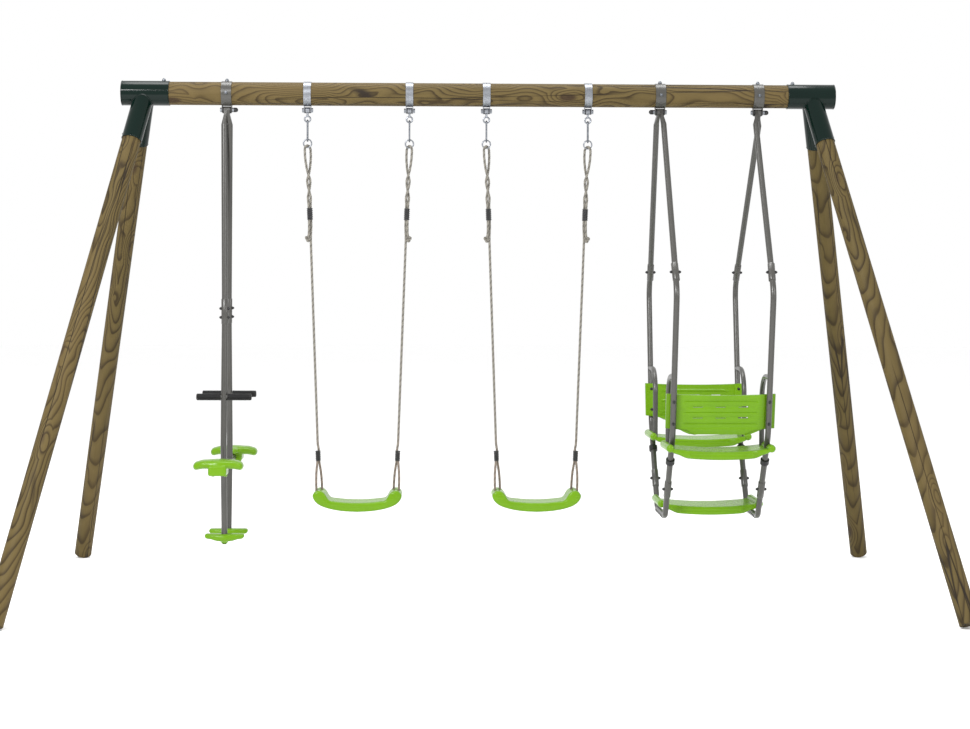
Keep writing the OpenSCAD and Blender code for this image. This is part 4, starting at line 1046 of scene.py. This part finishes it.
def board_section(x, top, under, half_depth, groove):
    """A ring across the board: slats on top, rounded edges"""
    edge, bite = 0.007, 0.0021
    marks = [(-half_depth, under + edge), (-half_depth, top - edge), (-half_depth + bite, top - bite),
             (-half_depth + edge, top)]
    slats = 5
    pitch = (2 * half_depth - 0.040) / slats
    for k in range(slats + 1):
        y = -half_depth + 0.020 + k * pitch
        marks += [(y - 0.004, top), (y - 0.0018, top - groove), (y + 0.0018, top - groove), (y + 0.004, top)]
    marks += [(half_depth - edge, top), (half_depth - bite, top - bite), (half_depth, top - edge),
              (half_depth, under + edge), (half_depth - bite, under + bite), (half_depth - edge, under),
              (-half_depth + edge, under), (-half_depth + bite, under + bite)]
    return [Vector((x, y, z)) for y, z in marks]


def slatted_board(name):
    """The moulding of the gondola's seats and platform, about the middle of its top"""
    half, depth = 0.211, 0.125
    rings = []
    for k in range(49):
        x = -half + 2 * half * k / 48
        a = abs(x) / half
        top = x * x / 3.0
        under = top - eased([(0, 0.034), (0.66, 0.034), (0.88, 0.022), (1.0, 0.014)], a)
        grow = eased([(0.62, 0.0), (0.72, -0.006), (1.0, -0.004)], a)
        rings.append(board_section(x, top, under, depth + grow, 0.0026 if a < 0.93 else 0.0008))
    board = drawn_out(name, rings, LIME)
    knobs = []
    turns = [2 * math.pi * k / 36 for k in range(36)]
    rounded_end = [(0.0, 0.005), (0.001, 0.010), (0.004, 0.0135), (0.010, 0.0158), (0.016, 0.0165)]
    profile = [(-depth + y, r) for y, r in rounded_end]
    profile += [(0.0, 0.0158)]
    profile += [(depth - y, r) for y, r in rounded_end[::-1]]
    for side in (-1, 1):
        ring_list = [[Vector((side * half + r * math.cos(turn), y, 0.013 + r * math.sin(turn)))
                      for turn in turns] for y, r in profile]
        knobs.append(drawn_out("knob", ring_list, LIME))
    for side in (-1, 1):
        # the inset panel on each long face, framed by its rim
        clear_selection()
        bpy.ops.mesh.primitive_cube_add(size=1, location=(0, side * (depth + 0.0195), -0.0125),
                                        scale=(0.262, 0.042, 0.0165))
        cutter = settle(named("cutter", LIME))
        apply_modifier(cutter, "BEVEL", width=0.004, segments=3)
        apply_modifier(board, "BOOLEAN", operation="DIFFERENCE", object=cutter, solver="EXACT")
        bpy.data.objects.remove(cutter)
    board = joined(name, [board] + knobs)
    return smooth(board, 35)


board = slatted_board("board")
platform_drop = 1.738 - TUBE_R - 0.0003 - 0.034 + 0.012
platform = copied(board, "platform_board", GONDOLA @ Matrix.Translation((0, 0, -platform_drop)))
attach(platform, "gondola")
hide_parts("gondola_platform")
board.data.transform(Matrix.Translation((0, 0.305, -1.439)))
both_ends(board, GONDOLA, ("gondola_bench_front", "gondola_bench_rear"), "gondola",
          ("gondola_seat_front", "gondola_seat_rear"))

# ---------- corner brackets ----------


def rolled_rim(name, place, radius, bead):
    clear_selection()
    bpy.ops.mesh.primitive_torus_add(major_segments=72, minor_segments=12, major_radius=radius,
                                     minor_radius=bead)
    rim = named(name, GREEN)
    rim.data.transform(place)
    return smooth(rim, 60)


LEG_DIRECTION = Vector((0.441, 1.0, -2.144)).normalized()
LEG_TOP_X = 1.443
SOCKET_END_X = 1.541
for sx, side in ((-1, "left"), (1, "right")):
    rims = []
    for x in (SOCKET_END_X - 0.0022, SOCKET_END_X - 0.205 + 0.0022):
        place = Matrix.Translation((sx * x, 0, BEAM_Z)) @ Matrix.Rotation(math.pi / 2, 4, "Y")
        rims.append(rolled_rim("rim", place, 0.0524, 0.0019))
    for sy in (-1, 1):
        way = Vector((sx * LEG_DIRECTION.x, sy * LEG_DIRECTION.y, LEG_DIRECTION.z))
        middle = Vector((sx * LEG_TOP_X, 0, BEAM_Z)) + way * (0.235 - 0.0022)
        place = Matrix.Translation(middle) @ way.to_track_quat("Z", "Y").to_matrix().to_4x4()
        rims.append(rolled_rim("rim", place, 0.0424, 0.0019))
        # the weld where the leg socket meets the beam socket
        seam = []
        across = way.orthogonal().normalized()
        beside = way.cross(across)
        for k in range(97):
            t = 2 * math.pi * k / 96
            outwards = across * math.cos(t) + beside * math.sin(t)
            start = Vector((sx * LEG_TOP_X, 0, BEAM_Z)) + 0.0433 * outwards
            flat, ahead = Vector((0, start.y, start.z - BEAM_Z)), Vector((0, way.y, way.z))
            a, b, c = ahead.dot(ahead), 2 * flat.dot(ahead), flat.dot(flat) - 0.0534 ** 2
            reach = (-b + math.sqrt(max(0.0, b * b - 4 * a * c))) / (2 * a)
            point = start + way * reach
            if abs(point.x - sx * 1.4385) < 0.102:
                seam.append(point)
        weld = bent_bar("weld", seam, 0.0030, GREEN, 12)
        apply_modifier(weld, "SMOOTH", factor=0.3, iterations=1)
        rims.append(weld)
    trim = joined("bracket_trim_" + side, rims)
    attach(trim, "frame")

# ---------- finishes of the CAD's own pieces ----------


def finish_node(name, material):
    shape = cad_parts[name]
    shape.data.materials.clear()
    shape.data.materials.append(material)


finish_node("beam", BEAM_WOOD)
for sx, side in ((-1, "left"), (1, "right")):
    for sy, end in ((-1, "front"), (1, "rear")):
        way = (sx * LEG_DIRECTION.x, sy * LEG_DIRECTION.y, LEG_DIRECTION.z)
        tone = 0.35 + 0.2 * sx + (0.3 if sy > 0 else 0)
        timber = timber_material("leg timber %s %s" % (end, side), (sx * LEG_TOP_X, 0, BEAM_Z), way, tone)
        finish_node("leg_%s_%s" % (end, side), timber)
    finish_node("corner_bracket_" + side, GREEN)
    finish_node("gondola_upper_tubes_" + side, GREY)
for letter in SWINGS:
    finish_node("hooks_" + letter, ZINC)
    finish_node("links_" + letter, DARK_ZINC)
    finish_node("rings_" + letter, ZINC)
finish_node("pivot_bolts", ZINC)
finish_node("bracket_screws", DARK_ZINC)
finish_node("swing_straps", ZINC)
finish_node("strap_screws", DARK_ZINC)
for name in ("glider_strap", "gondola_straps", "glider_upper_tube_front", "glider_upper_tube_rear",
             "glider_seat_bar", "glider_handlebars"):
    finish_node(name, GREY)
for name in ("pivot_bushes", "pivot_caps", "glider_end_caps", "gondola_collars", "platform_clips"):
    finish_node(name, BLACK)
for name in ("glider_bolts", "gondola_bolts"):
    finish_node(name, BLACK_CAP)

# ---------- floor ----------


def add_floor():
    clear_selection()
    bpy.ops.mesh.primitive_plane_add(size=60, location=(0, 0, -0.001))
    material, tree, shader = new_material("pale floor", roughness=0.9)
    cloud = noise(tree, object_vector(tree), 0.4, 2)
    shade = mix_colour(tree, cloud, (1.0, 1.0, 1.0, 1), (0.985, 0.985, 0.985, 1))
    tree.links.new(shade, shader.inputs["Base Color"])
    floor = named("floor", material)
    settle(floor)


add_floor()
